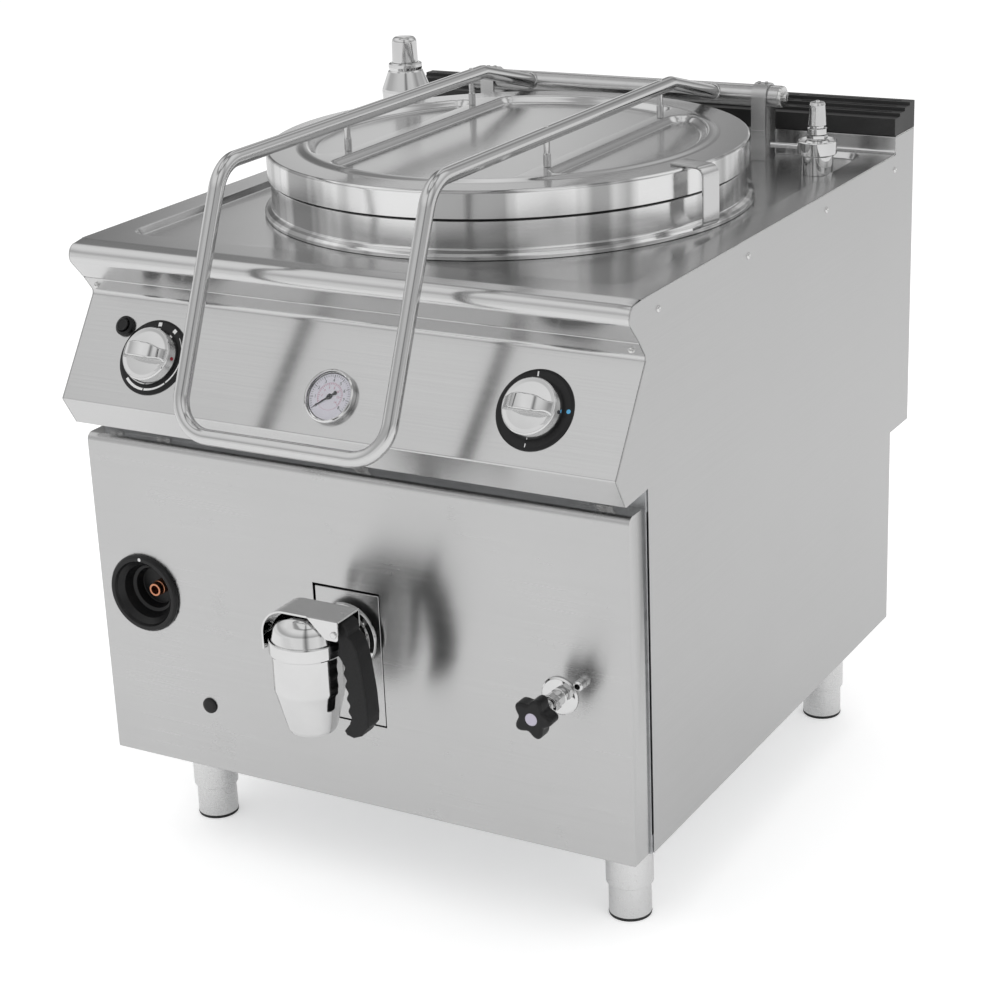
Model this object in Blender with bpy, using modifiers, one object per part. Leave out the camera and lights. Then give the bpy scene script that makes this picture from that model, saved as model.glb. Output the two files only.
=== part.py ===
# Gas boiling kettle with a steam jacket, built into an 800 mm cabinet, in metres, +Z up.
# Depths are measured from the front edge of the side panels towards the back, heights from the floor.
# The root empty moves everything so that the origin lies under the middle of the whole kettle.
import math

import bmesh
import bpy
from mathutils import Matrix, Vector

# Cabinet
CABINET_MARGIN = 0.065
LEG_HEIGHT = 0.140
WORKTOP_HEIGHT = 0.850
UPSTAND_WIDTH = 0.075
LOWER_REAR_OUT = 0.003
REAR_STEP_HEIGHT = 0.434
SHEET = 0.0015
TOP_SHEET = 0.002
CLEAR = 0.0003
BIG_STEPS = 36
MIDDLE_STEPS = 16
SMALL_STEPS = 12
LEG_STEPS = 14
KNUCKLE_STEPS = 2
TUBE_SIDES = 8
ARC_STEP = math.radians(22.5)
WELD = 0.00001

# Worktop: bullnose in front, sunk spill recess, upstand at the back
BULLNOSE_OUT = 0.040
BULLNOSE_DROP = 0.022
BULLNOSE_RADIUS = 0.012
BULLNOSE_TOP_OUT = 0.036
BULLNOSE_TOP_DROP = 0.004
FLAT_START_OUT = 0.012
FLAT_RADIUS = 0.030
HINGE_SETBACK = 0.048
UPSTAND_RISE = 0.025
UPSTAND_COVE = 0.006
UPSTAND_EDGE = 0.003
RECESS_MARGIN = 0.040
RECESS_FRONT = 0.033
RECESS_DROP = 0.009
RECESS_SLOPE = 0.004
RECESS_CORNER = 0.030
KETTLE_HOLE_GAP = 0.0025
OVERRUN = 0.010

# Control panel, folded from one sheet
SEAM_OUT = 0.015
SEAM_DROP = 0.050
NECK_DROP = 0.0735
NECK_RADIUS = 0.008
NOSE_OUT = 0.081
NOSE_DROP = 0.196
NOSE_RADIUS = 0.003
LIP_OUT = 0.058
LIP_DROP = 0.235
LIP_RADIUS = 0.002
UNDERSIDE_DROP = 0.231
PANEL_FLANGE = 0.018
PANEL_TILT = math.radians(34.3)

# Dials, knobs and their valves
DIAL_MARGIN = 0.124
DIAL_DOWN = 0.078
DIAL_RADIUS = 0.050
DIAL_THICKNESS = 0.003
DIAL_CHAMFER = 0.001
KNOB_RADIUS = 0.038
KNOB_TOP_RADIUS = 0.0345
KNOB_SKIRT_HEIGHT = 0.014
KNOB_DISH_HEIGHT = 0.018
KNOB_HEIGHT = 0.036
KNOB_GRIP_WIDTH = 0.019
KNOB_GRIP_BEVEL = 0.004
KNOB_GRIP_STEPS = 8
SPINDLE_RADIUS = 0.005
SPINDLE_LENGTH = 0.022
VALVE_HALF_WIDTH = 0.024
VALVE_HALF_HEIGHT = 0.030
VALVE_DEPTH = 0.045
VALVE_PORT_RADIUS = 0.008
VALVE_PORT_LENGTH = 0.050

# Igniter and gauge
IGNITER_MARGIN = 0.068
IGNITER_DOWN = 0.042
IGNITER_RING_RADIUS = 0.0135
IGNITER_BODY_RADIUS = 0.0105
IGNITER_BUTTON_RADIUS = 0.0082
IGNITER_RING_HEIGHT = 0.006
IGNITER_RING_EDGE = 0.004
IGNITER_BUTTON_HEIGHT = 0.009
IGNITER_CUP_DEPTH = 0.014
IGNITER_FLOOR = 0.004
IGNITER_TRAVEL = 0.004
GAUGE_DOWN = 0.097
GAUGE_RADIUS = 0.0345
GAUGE_WINDOW_RADIUS = 0.031
GAUGE_BODY_RADIUS = 0.030
GAUGE_RIM_HEIGHT = 0.009
GAUGE_FACE_HEIGHT = 0.004
GAUGE_BODY_DEPTH = 0.025
GAUGE_RIM_EDGE = 0.0015
GLASS_THICKNESS = 0.0015
NEEDLE_THICKNESS = 0.0008
NEEDLE_HUB_RADIUS = 0.0035
NEEDLE_LENGTH = 0.024
NEEDLE_TAIL = 0.008
NEEDLE_HALF_WIDTH = 0.0012
NEEDLE_REST = math.radians(128)

# Front panel, a pan screwed in front of the chassis
FRONT_MARGIN = 0.004
FRONT_OUT = 0.044
FRONT_TOP_HEIGHT = 0.596
FRONT_TOP_RADIUS = 0.010
FRONT_EDGE_RADIUS = 0.0025
FRONT_RETURN_OUT = 0.005
PORT_MARGIN = 0.076
PORT_HEIGHT = 0.3815
PORT_RADIUS = 0.054
PORT_RIM_HEIGHT = 0.007
PORT_RIM_EDGE = 0.002
PORT_MOUTH_RADIUS = 0.045
PORT_THROAT_RADIUS = 0.026
PORT_THROAT_DEPTH = 0.030
PORT_WALL = 0.002
PORT_TUBE_RADIUS = 0.010
PORT_TUBE_BORE = 0.006
PORT_TUBE_FRONT = 0.018
PORT_TUBE_LENGTH = 0.040
PORT_TUBE_SHIFT = 0.006
PLUG_MARGIN = 0.167
PLUG_HEIGHT = 0.234
PLUG_RADIUS = 0.011
PLUG_HEAD = 0.003
PLUG_STEM_RADIUS = 0.008
PLUG_STEM_LENGTH = 0.008

# Chassis behind the panels
TRAY_RISE = 0.025
POST_WIDTH = 0.025
POST_SHEET = 0.002
RAIL_HEIGHT = 0.028

# Legs
LEG_MARGIN = 0.073
LEG_FRONT = 0.075
SLEEVE_RADIUS = 0.031
SLEEVE_BORE = 0.0284
SLEEVE_BOTTOM = 0.047
SLEEVE_CAP = 0.010
FOOT_RADIUS = 0.028
FOOT_TOP = 0.060
FOOT_STEM_RADIUS = 0.008
FOOT_CHAMFER = 0.002

# Kettle
KETTLE_MARGIN = 0.070
COLLAR_REACH = 0.0195
COLLAR_WALL = 0.002
COLLAR_TOP = 0.888
COLLAR_FOOT_REACH = 0.0105
COLLAR_FOOT_HEIGHT = 0.0075
COLLAR_FOOT_EDGE = 0.001
VESSEL_RADIUS = 0.300
VESSEL_WALL = 0.002
VESSEL_BOTTOM = 0.466
VESSEL_KNUCKLE = 0.045
VESSEL_DISH = 0.004
JACKET_GAP = 0.035
JACKET_TOP = 0.800
JACKET_BOTTOM = 0.415
JACKET_KNUCKLE = 0.035

# Drain pipe from the vessel to the tap
DRAIN_RADIUS = 0.020
DRAIN_BORE = 0.017
DRAIN_HEIGHT = 0.382
DRAIN_MARGIN = 0.100
DRAIN_BEND = 0.024
DRAIN_FLANGE_RADIUS = 0.032
DRAIN_FLANGE = 0.006

# Burner and combustion box
BURNER_INSET = 0.140
BURNER_TUBE = 0.014
BURNER_HEIGHT = 0.330
BURNER_LEG_RADIUS = 0.006
BOX_MARGIN = 0.052
BOX_BOTTOM = 0.300
BOX_TOP = 0.470
BOX_FRONT = 0.055
BOX_REAR_MARGIN = 0.051
FLUE_MARGIN = 0.110
FLUE_SETBACK = 0.009
FLUE_REAR_MARGIN = 0.012
FLUE_DUCT_BOTTOM = 0.445
FLUE_DUCT_DEPTH = 0.106

# Grille on the upstand
GRILLE_OVERHANG = 0.003
GRILLE_HEIGHT = 0.037
GRILLE_FIRST_RISE = 0.024
GRILLE_WALL = 0.003
GRILLE_STEPS = 4
GRILLE_SLOT = 0.004
GRILLE_SLOT_COUNT = 5
GRILLE_SLOT_GAP = 0.012

# Lid, its frame and the hinge
LID_OVERHANG = 0.004
LID_TOP = 0.927
LID_BOTTOM = 0.892
LID_SHEET = 0.0015
LID_EDGE_RADIUS = 0.004
LID_RIM_WIDTH = 0.0515
LID_FIELD_SLOPE = 0.014
LID_FIELD_DROP = 0.006
LID_RIDGE_RISE = 0.003
LID_RIDGE_OFFSET = 0.145
LID_RIDGE_HALF = 0.005
LID_RIDGE_SLOPE = 0.009
LINER_GAP = 0.0023
LINER_THICKNESS = 0.002
GASKET_INSET = 0.0035
GASKET_SETBACK = 0.003
HINGE_GAP = 0.0265
HINGE_HEIGHT = 0.930
SHAFT_RADIUS = 0.0155
SHAFT_HALF_LENGTH = 0.247
SHAFT_BORE = 0.0125
FRAME_RADIUS = 0.010
FRAME_SHIFT = 0.003
FRAME_APEX_SETBACK = 0.155
FRAME_HEIGHT = 0.971
FRAME_CORNER_OUT = 0.039
FRAME_BAR_OUT = 0.172
FRAME_BAR_HEIGHT = 0.670
FRAME_BEND = 0.048
FRAME_BAR_BEND = 0.047
LID_POST_RADIUS = 0.0048
LID_POST_TOP_RADIUS = 0.004
LID_POST_share = 0.6
LID_POST_STEP = 0.016
BRACKET_INNER = 0.209
BRACKET_WIDTH = 0.022
BRACKET_SHEET = 0.003
BRACKET_GAP = 0.0005
END_PLUG_HEAD = 0.004
END_PLUG_LENGTH = 0.020
END_BOLT_RADIUS = 0.007
END_BOLT_HEIGHT = 0.005
STRAP_ANGLE = math.radians(-15)
STRAP_WIDTH = 0.030
STRAP_SHEET = 0.003
STRAP_INSET = 0.0255
STRAP_REACH = 0.0285
STRAP_DROP = 0.074
STRAP_CURL = 0.008
STRAP_BEND = 0.010

# Safety valve on the left, filling cock on the right
SAFETY_MARGIN = 0.070
SAFETY_SETBACK = 0.070
SAFETY_STEM_RADIUS = 0.013
SAFETY_BASE_RADIUS = 0.022
SAFETY_BASE_HEIGHT = 0.012
SAFETY_SKIRT_BOTTOM = 0.908
SAFETY_SKIRT_BAND = 0.922
SAFETY_SKIRT_RADIUS = 0.0367
SAFETY_SKIRT_TOP = 0.950
SAFETY_NECK_RADIUS = 0.026
SAFETY_RING_RADIUS = 0.0253
SAFETY_RING_TOP = 0.962
SAFETY_CAP_RADIUS = 0.0193
SAFETY_CAP_EDGE = 0.990
SAFETY_TOP = 1.000
SAFETY_PIN_RADIUS = 0.006
SAFETY_PIN_TOP = 0.978
COCK_MARGIN = 0.072
COCK_SETBACK = 0.065
COCK_BASE_RADIUS = 0.0225
COCK_BASE_TOP = 0.867
COCK_RING_RADIUS = 0.0273
COCK_RING_TOP = 0.888
COCK_RING_DISH = 0.004
COCK_SPINDLE_RADIUS = 0.010
COCK_NUT_RADIUS = 0.0136
COCK_NUT_TOP = 0.907
COCK_CAP_TOP_RADIUS = 0.011
COCK_CAP_TOP = 0.937
COCK_TIP = 0.942
COCK_PIPE_RADIUS = 0.004
COCK_PIPE_REACH = 0.070
COCK_PIPE_HEIGHT = 0.876
JACKET_PIPE_RADIUS = 0.009
JACKET_PIPE_HEIGHT = 0.770
JACKET_PIPE_BEND = 0.030

# Drain tap
TAP_OUT = 0.140
TAP_RADIUS = 0.045
TAP_TOP = 0.405
TAP_SHOULDER = 0.350
TAP_MOUTH = 0.292
TAP_MOUTH_RADIUS = 0.030
TAP_MOUTH_BORE = 0.026
TAP_CHAMBER_RADIUS = 0.038
TAP_SEAT = 0.352
TAP_BRANCH_RADIUS = 0.0155
TAP_BRANCH_BORE = 0.012
TAP_FLANGE_OUT = 0.057
TAP_FLANGE_RADIUS = 0.045
TAP_FLANGE = 0.004
TAP_UNION_RADIUS = 0.030
TAP_UNION_LENGTH = 0.014
TAP_TAIL_BACK = 0.020
CAP_RADIUS = 0.048
CAP_BOTTOM = 0.398
CAP_BAND_TOP = 0.416
CAP_DOME_RADIUS = 0.0445
CAP_DOME_TOP = 0.446
CAP_WALL = 0.003
PLUNGER_RADIUS = 0.034
PLUNGER_DISC = 0.006
PLUNGER_STEM_RADIUS = 0.005
PLUNGER_TOP = 0.4475
YOKE_TOP = 0.4545
YOKE_HALF_WIDTH = 0.025
YOKE_SHEET = 0.0025
YOKE_LEFT_BOTTOM = 0.399
YOKE_LEFT_BEND = 0.034
YOKE_RIGHT = 0.064
YOKE_CHEEK_DROP = 0.026
YOKE_CHEEK_LEFT = 0.020
YOKE_CHEEK_FOOT = 0.044
PIVOT_RIGHT = 0.057
PIVOT_HEIGHT = 0.437
PIVOT_RADIUS = 0.003
HANDLE_HALF_WIDTH = 0.0145
HANDLE_WIDTH = 0.042
HANDLE_LENGTH = 0.154
HANDLE_TOP = 0.4505
HANDLE_LEFT = 0.0495
HANDLE_SCALLOPS = 5
HANDLE_SCALLOP_DEPTH = 0.0022
# Outline of the grip: share of its width from the left, share of its length from the top
HANDLE_RIGHT_shares = ((0.62, 0.15), (0.75, 0.22), (0.86, 0.38), (0.97, 0.62), (1.0, 0.80), (0.97, 0.88),
                       (0.72, 0.97), (0.45, 1.0), (0.22, 0.985), (0.14, 0.95))
HANDLE_LEFT_shares = ((0.34, 0.88), (0.20, 0.34))
HANDLE_HOOK_shares = ((0.06, 0.29), (0.10, 0.26), (0.14, 0.19))
HANDLE_HEAD_RADIUS = 0.0135
BACKPLATE_LEFT = 0.054
BACKPLATE_RIGHT = 0.046
BACKPLATE_BOTTOM = 0.257
BACKPLATE_TOP = 0.442
BACKPLATE_DEPTH = 0.008
BACKPLATE_FLANGE = 0.012

# Level cock on the front panel
LEVEL_MARGIN = 0.1014
LEVEL_HEIGHT = 0.353
LEVEL_PLATE_RADIUS = 0.025
LEVEL_PLATE = 0.004
LEVEL_PLATE_RIM = 0.002
LEVEL_BOSS_RADIUS = 0.011
LEVEL_BOSS_LENGTH = 0.030
LEVEL_SPINDLE_RADIUS = 0.005
LEVEL_KNOB_NEAR = 0.051
LEVEL_KNOB_THICKNESS = 0.023
LEVEL_KNOB_RADIUS = 0.0225
LEVEL_KNOB_LOBE = 0.0043
LEVEL_KNOB_LOBES = 5
LEVEL_KNOB_BORE_DEPTH = 0.016
LEVEL_HUB_RADIUS = 0.013
LEVEL_HUB_LENGTH = 0.006
LEVEL_TAIL_RADIUS = 0.009
LEVEL_TAIL_LENGTH = 0.020
NOZZLE_MARGIN = 0.0715
NOZZLE_HEIGHT = 0.375
NOZZLE_RADIUS = 0.0065
NOZZLE_LENGTH = 0.012
NOZZLE_TAIL_RADIUS = 0.004

# Sizes that follow from the ones above
JACKET_RADIUS = VESSEL_RADIUS + JACKET_GAP
WIDTH = 2 * (JACKET_RADIUS + CABINET_MARGIN)
KETTLE_DEPTH = JACKET_RADIUS + KETTLE_MARGIN
COLLAR_RADIUS = VESSEL_RADIUS + COLLAR_REACH
COLLAR_FOOT_RADIUS = COLLAR_RADIUS + COLLAR_FOOT_REACH
KETTLE_HOLE_RADIUS = COLLAR_RADIUS + KETTLE_HOLE_GAP
LID_RADIUS = COLLAR_RADIUS + LID_OVERHANG
LID_FIELD_RADIUS = LID_RADIUS - LID_RIM_WIDTH
LID_FIELD_FLOOR_RADIUS = LID_FIELD_RADIUS - LID_FIELD_SLOPE
LINER_RADIUS = LID_RADIUS - LINER_GAP
GASKET_RADIUS = COLLAR_RADIUS - GASKET_INSET
GASKET_BORE = VESSEL_RADIUS + GASKET_SETBACK
LID_POST_SPREAD = LID_FIELD_RADIUS * LID_POST_share
FRAME_OFFSET = LID_RIDGE_OFFSET + FRAME_SHIFT
STRAP_START = LID_RADIUS - STRAP_INSET
STRAP_RADIUS = LID_RADIUS + STRAP_REACH
HINGE_DEPTH = KETTLE_DEPTH + LID_RADIUS + HINGE_GAP
FRAME_APEX_DEPTH = HINGE_DEPTH - FRAME_APEX_SETBACK
UPSTAND_DEPTH = HINGE_DEPTH + HINGE_SETBACK
REAR_DEPTH = UPSTAND_DEPTH + UPSTAND_WIDTH
LOWER_REAR_DEPTH = UPSTAND_DEPTH + LOWER_REAR_OUT
RECESS_REAR = UPSTAND_DEPTH - UPSTAND_COVE
RECESS_HALF_WIDTH = WIDTH / 2 - RECESS_MARGIN
DIAL_OFFSET = WIDTH / 2 - DIAL_MARGIN
IGNITER_OFFSET = WIDTH / 2 - IGNITER_MARGIN
FRONT_HALF_WIDTH = WIDTH / 2 - FRONT_MARGIN
PORT_OFFSET = WIDTH / 2 - PORT_MARGIN
PLUG_OFFSET = WIDTH / 2 - PLUG_MARGIN
LEVEL_OFFSET = WIDTH / 2 - LEVEL_MARGIN
NOZZLE_OFFSET = WIDTH / 2 - NOZZLE_MARGIN
LEG_OFFSET = WIDTH / 2 - LEG_MARGIN
LEG_REAR = LOWER_REAR_DEPTH - LEG_FRONT
DRAIN_BACK = KETTLE_DEPTH - VESSEL_RADIUS + DRAIN_MARGIN
BURNER_RADIUS = VESSEL_RADIUS - BURNER_INSET
BOX_HALF_WIDTH = WIDTH / 2 - BOX_MARGIN
BOX_REAR = LOWER_REAR_DEPTH - BOX_REAR_MARGIN
FLUE_HALF_WIDTH = WIDTH / 2 - FLUE_MARGIN
FLUE_FRONT = UPSTAND_DEPTH + FLUE_SETBACK
FLUE_REAR = REAR_DEPTH - FLUE_REAR_MARGIN
FLUE_DUCT_FRONT = LOWER_REAR_DEPTH - FLUE_DUCT_DEPTH
GRILLE_FRONT = UPSTAND_DEPTH - GRILLE_OVERHANG
SAFETY_OFFSET = WIDTH / 2 - SAFETY_MARGIN
SAFETY_DEPTH = HINGE_DEPTH - SAFETY_SETBACK
COCK_OFFSET = WIDTH / 2 - COCK_MARGIN
COCK_DEPTH = HINGE_DEPTH - COCK_SETBACK
INNER_HALF_WIDTH = WIDTH / 2 - SHEET - CLEAR
FLOOR_OF_RECESS = WORKTOP_HEIGHT - RECESS_DROP
NOSE_HEIGHT = WORKTOP_HEIGHT - NOSE_DROP
NECK_HEIGHT = WORKTOP_HEIGHT - NECK_DROP
NECK_DEPTH = (NECK_HEIGHT - NOSE_HEIGHT) * math.tan(PANEL_TILT) - NOSE_OUT
SEAM_HEIGHT = WORKTOP_HEIGHT - SEAM_DROP
LIP_HEIGHT = WORKTOP_HEIGHT - LIP_DROP
UNDERSIDE_HEIGHT = WORKTOP_HEIGHT - UNDERSIDE_DROP
UPSTAND_HEIGHT = WORKTOP_HEIGHT + UPSTAND_RISE
FRONTMOST = -TAP_OUT - CAP_RADIUS
CENTRE_DEPTH = (FRONTMOST + REAR_DEPTH) / 2


def start_clean():
    for old in list(bpy.data.objects):
        bpy.data.objects.remove(old, do_unlink=True)
    parts = bpy.data.collections.new("steam_jacketed_kettle")
    cutters = bpy.data.collections.new("cutters")
    bpy.context.scene.collection.children.link(parts)
    bpy.context.scene.collection.children.link(cutters)
    return parts, cutters


def principled(name, colour, metallic, roughness):
    look = bpy.data.materials.new(name)
    look.use_nodes = True
    shader = look.node_tree.nodes["Principled BSDF"]
    shader.inputs["Base Color"].default_value = (*colour, 1)
    shader.inputs["Metallic"].default_value = metallic
    shader.inputs["Roughness"].default_value = roughness
    return look


PARTS, CUTTERS = start_clean()
SATIN = principled("satin_steel", (0.60, 0.60, 0.59), 1, 0.34)
BRIGHT = principled("bright_steel", (0.66, 0.66, 0.65), 1, 0.20)
CHROME = principled("chrome", (0.80, 0.80, 0.80), 1, 0.07)
BLACK = principled("black_plastic", (0.020, 0.020, 0.021), 0, 0.42)
BLACK_ENAMEL = principled("black_enamel", (0.018, 0.018, 0.018), 0, 0.50)
GASKET = principled("gasket_rubber", (0.05, 0.05, 0.05), 0, 0.75)
COPPER = principled("copper", (0.55, 0.25, 0.13), 1, 0.35)
BRASS = principled("brass", (0.55, 0.42, 0.18), 1, 0.35)
CAST = principled("cast_iron", (0.10, 0.10, 0.10), 0.8, 0.60)
WHITE = principled("dial_white", (0.80, 0.78, 0.82), 0, 0.40)
CLEAR_GLASS = principled("gauge_glass", (0.90, 0.92, 0.92), 0, 0.05)
GALVANISED = principled("galvanised_steel", (0.48, 0.49, 0.50), 1, 0.45)


def empty(name, parent=None, place=(0, 0, 0), turn=(0, 0, 0)):
    holder = bpy.data.objects.new(name, None)
    holder.empty_display_size = OVERRUN
    holder.location = place
    holder.rotation_euler = turn
    holder.parent = parent
    PARTS.objects.link(holder)
    return holder


ROOT = empty("kettle_root", place=(0, -CENTRE_DEPTH, 0))


# Building blocks

def part(name, mesh, look, parent=None, place=(0, 0, 0), turn=(0, 0, 0)):
    made = bpy.data.objects.new(name, mesh)
    mesh.name = name
    made.location = place
    made.rotation_euler = turn
    made.parent = parent or ROOT
    PARTS.objects.link(made)
    if look:
        mesh.materials.append(look)
    return made


def tool(name, mesh, parent=None, place=(0, 0, 0), turn=(0, 0, 0)):
    made = part(name, mesh, None, parent, place, turn)
    PARTS.objects.unlink(made)
    CUTTERS.objects.link(made)
    made.hide_render = True
    made.display_type = "WIRE"
    return made


def boolean(target, other, operation):
    step = target.modifiers.new(other.name, "BOOLEAN")
    step.operation = operation
    step.object = other
    step.solver = "EXACT"


def cut(target, *others):
    for other in others:
        boolean(target, other, "DIFFERENCE")


def join(target, *others):
    for other in others:
        boolean(target, other, "UNION")


def bevel(target, width, segments=2, angle=math.radians(40)):
    step = target.modifiers.new("rounded_edges", "BEVEL")
    step.width = width
    step.segments = segments
    step.limit_method = "ANGLE"
    step.angle_limit = angle


def finished(shape, name="mesh"):
    mesh = bpy.data.meshes.new(name)
    bmesh.ops.recalc_face_normals(shape, faces=shape.faces)
    shape.to_mesh(mesh)
    shape.free()
    return mesh


def box_mesh(low, high):
    shape = bmesh.new()
    size = Vector(high) - Vector(low)
    middle = (Vector(high) + Vector(low)) / 2
    bmesh.ops.create_cube(shape, size=1, matrix=Matrix.Translation(middle) @ Matrix.Diagonal((*size, 1)))
    return finished(shape)


# A cylinder whose first corner lies at +X, as on the turned pieces
def cylinder_mesh(radius, bottom, top, steps=SMALL_STEPS):
    shape = bmesh.new()
    middle = Matrix.Translation((0, 0, (top + bottom) / 2)) @ Matrix.Rotation(-math.pi / 2, 4, "Z")
    bmesh.ops.create_cone(shape, cap_ends=True, segments=steps, radius1=radius, radius2=radius,
                          depth=top - bottom, matrix=middle)
    mesh = finished(shape)
    shade_round(mesh)
    return mesh


# Radius of a hole that clears a round piece whichever way the sides of the two face
def clear_of(radius, steps=SMALL_STEPS):
    return (radius + CLEAR) / math.cos(math.pi / steps)


def tube_hole_mesh(radius, bottom, top, steps=SMALL_STEPS):
    return cylinder_mesh(clear_of(radius, steps), bottom, top, steps)


def shade_round(mesh):
    mesh.shade_smooth()
    mesh.set_sharp_from_angle(angle=math.radians(35))


# Rounds the corners of a path whose items are a point and its corner radius
def rounded(corners, closed=False, arc_step=ARC_STEP):
    path = []
    last = len(corners) - 1
    for index, (point, radius) in enumerate(corners):
        corner = Vector(point)
        if radius == 0 or (not closed and index in (0, last)):
            path.append(corner)
            continue
        before = (Vector(corners[index - 1][0]) - corner).normalized()
        after = (Vector(corners[(index + 1) % len(corners)][0]) - corner).normalized()
        half = before.angle(after) / 2
        centre = corner + (before + after).normalized() * radius / math.sin(half)
        first = corner + before * radius / math.tan(half) - centre
        final = corner + after * radius / math.tan(half) - centre
        sweep = math.pi - 2 * half
        count = max(2, round(sweep / arc_step))
        for step in range(count + 1):
            share = step / count
            leaving = first * math.sin((1 - share) * sweep)
            arriving = final * math.sin(share * sweep)
            path.append(centre + (leaving + arriving) / math.sin(sweep))
    return path


def arc(centre, radius, start, end, count):
    steps = [start + (end - start) * step / count for step in range(count + 1)]
    return [(centre[0] + radius * math.cos(a), centre[1] + radius * math.sin(a)) for a in steps]


def curve_mesh(curve):
    holder = bpy.data.objects.new("curve_holder", curve)
    bpy.context.scene.collection.objects.link(holder)
    scene_now = bpy.context.evaluated_depsgraph_get()
    mesh = bpy.data.meshes.new_from_object(holder.evaluated_get(scene_now))
    bpy.data.objects.remove(holder, do_unlink=True)
    mesh.materials.clear()
    shape = bmesh.new()
    shape.from_mesh(mesh)
    bmesh.ops.remove_doubles(shape, verts=shape.verts, dist=WELD)
    bpy.data.meshes.remove(mesh)
    return finished(shape)


def spline_of(curve, points, closed):
    spline = curve.splines.new("POLY")
    spline.points.add(len(points) - 1)
    for target, point in zip(spline.points, points):
        target.co = (*point, *([0] * (3 - len(point))), 1)
    spline.use_cyclic_u = closed


# A flat plate from its outline, from one height to another along its own Z
def plate_mesh(outline, bottom, top, holes=()):
    curve = bpy.data.curves.new("outline", "CURVE")
    curve.dimensions = "2D"
    curve.fill_mode = "BOTH"
    curve.extrude = (top - bottom) / 2
    for points in (outline, *holes):
        spline_of(curve, points, True)
    mesh = curve_mesh(curve)
    mesh.transform(Matrix.Translation((0, 0, (top + bottom) / 2)))
    return mesh


def tube_mesh(points, radius, sides=TUBE_SIDES):
    curve = bpy.data.curves.new("route", "CURVE")
    curve.dimensions = "3D"
    curve.bevel_depth = radius
    curve.bevel_resolution = sides // 2 - 2
    curve.use_fill_caps = True
    spline_of(curve, points, False)
    mesh = curve_mesh(curve)
    shade_round(mesh)
    return mesh


# A turned piece: the profile runs from the top down its outer side, as radius and height
def turned(name, profile, look, steps=MIDDLE_STEPS, parent=None, place=(0, 0, 0), turn=(0, 0, 0), maker=None):
    mesh = bpy.data.meshes.new(name)
    count = len(profile)
    ends_on_axis = profile[0][0] == 0 and profile[-1][0] == 0
    edges = [(step, step + 1) for step in range(count - 1)]
    if not ends_on_axis:
        edges.append((count - 1, 0))
    mesh.from_pydata([(radius, 0, height) for radius, height in profile], edges, [])
    if maker is tool:
        made = tool(name, mesh, parent, place, turn)
    else:
        made = part(name, mesh, look, parent, place, turn)
    screw = made.modifiers.new("turned", "SCREW")
    screw.steps = steps
    screw.render_steps = steps
    screw.use_merge_vertices = True
    screw.merge_threshold = WELD
    screw.use_smooth_shade = False
    return made


# A sheet folded along X: the path is its outer face in depth and height, rear to front over the top
def folded_mesh(path, left, right):
    shape = bmesh.new()
    line = [shape.verts.new((left, depth, height)) for depth, height in path]
    edges = [shape.edges.new(pair) for pair in zip(line, line[1:])]
    swept = bmesh.ops.extrude_edge_only(shape, edges=edges)["geom"]
    moved = [item for item in swept if isinstance(item, bmesh.types.BMVert)]
    bmesh.ops.translate(shape, verts=moved, vec=(right - left, 0, 0))
    shape.normal_update()
    first = next(face for face in shape.faces if line[0] in face.verts and line[1] in face.verts)
    along = Vector((0, *path[1])) - Vector((0, *path[0]))
    outward = Vector((0, along.z, -along.y))
    if first.normal.dot(outward) < 0:
        bmesh.ops.reverse_faces(shape, faces=shape.faces)
    mesh = bpy.data.meshes.new("folded")
    shape.to_mesh(mesh)
    shape.free()
    return mesh


def solidify(target, thickness):
    step = target.modifiers.new("sheet", "SOLIDIFY")
    step.thickness = thickness
    step.offset = -1
    step.use_even_offset = True
    step.use_quality_normals = True
    return target


ACROSS = (math.pi / 2, 0, math.pi / 2)
FORWARD = (math.pi / 2, 0, 0)
FACE_TILT = math.pi / 2 - PANEL_TILT


# Outline shared by the side panels, the control panel and the worktop's front
def front_corners():
    return {
        "flat": ((-FLAT_START_OUT, WORKTOP_HEIGHT), FLAT_RADIUS),
        "nose_top": ((-BULLNOSE_TOP_OUT, WORKTOP_HEIGHT - BULLNOSE_TOP_DROP), BULLNOSE_RADIUS),
        "nose_front": ((-BULLNOSE_OUT, WORKTOP_HEIGHT - BULLNOSE_DROP), BULLNOSE_RADIUS),
        "seam": ((-SEAM_OUT, SEAM_HEIGHT), 0),
        "neck": ((NECK_DEPTH, NECK_HEIGHT), NECK_RADIUS),
        "panel_nose": ((-NOSE_OUT, NOSE_HEIGHT), NOSE_RADIUS),
        "lip": ((-LIP_OUT, LIP_HEIGHT), LIP_RADIUS),
        "underside": ((0, UNDERSIDE_HEIGHT), 0),
    }


# Cabinet panels

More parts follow.
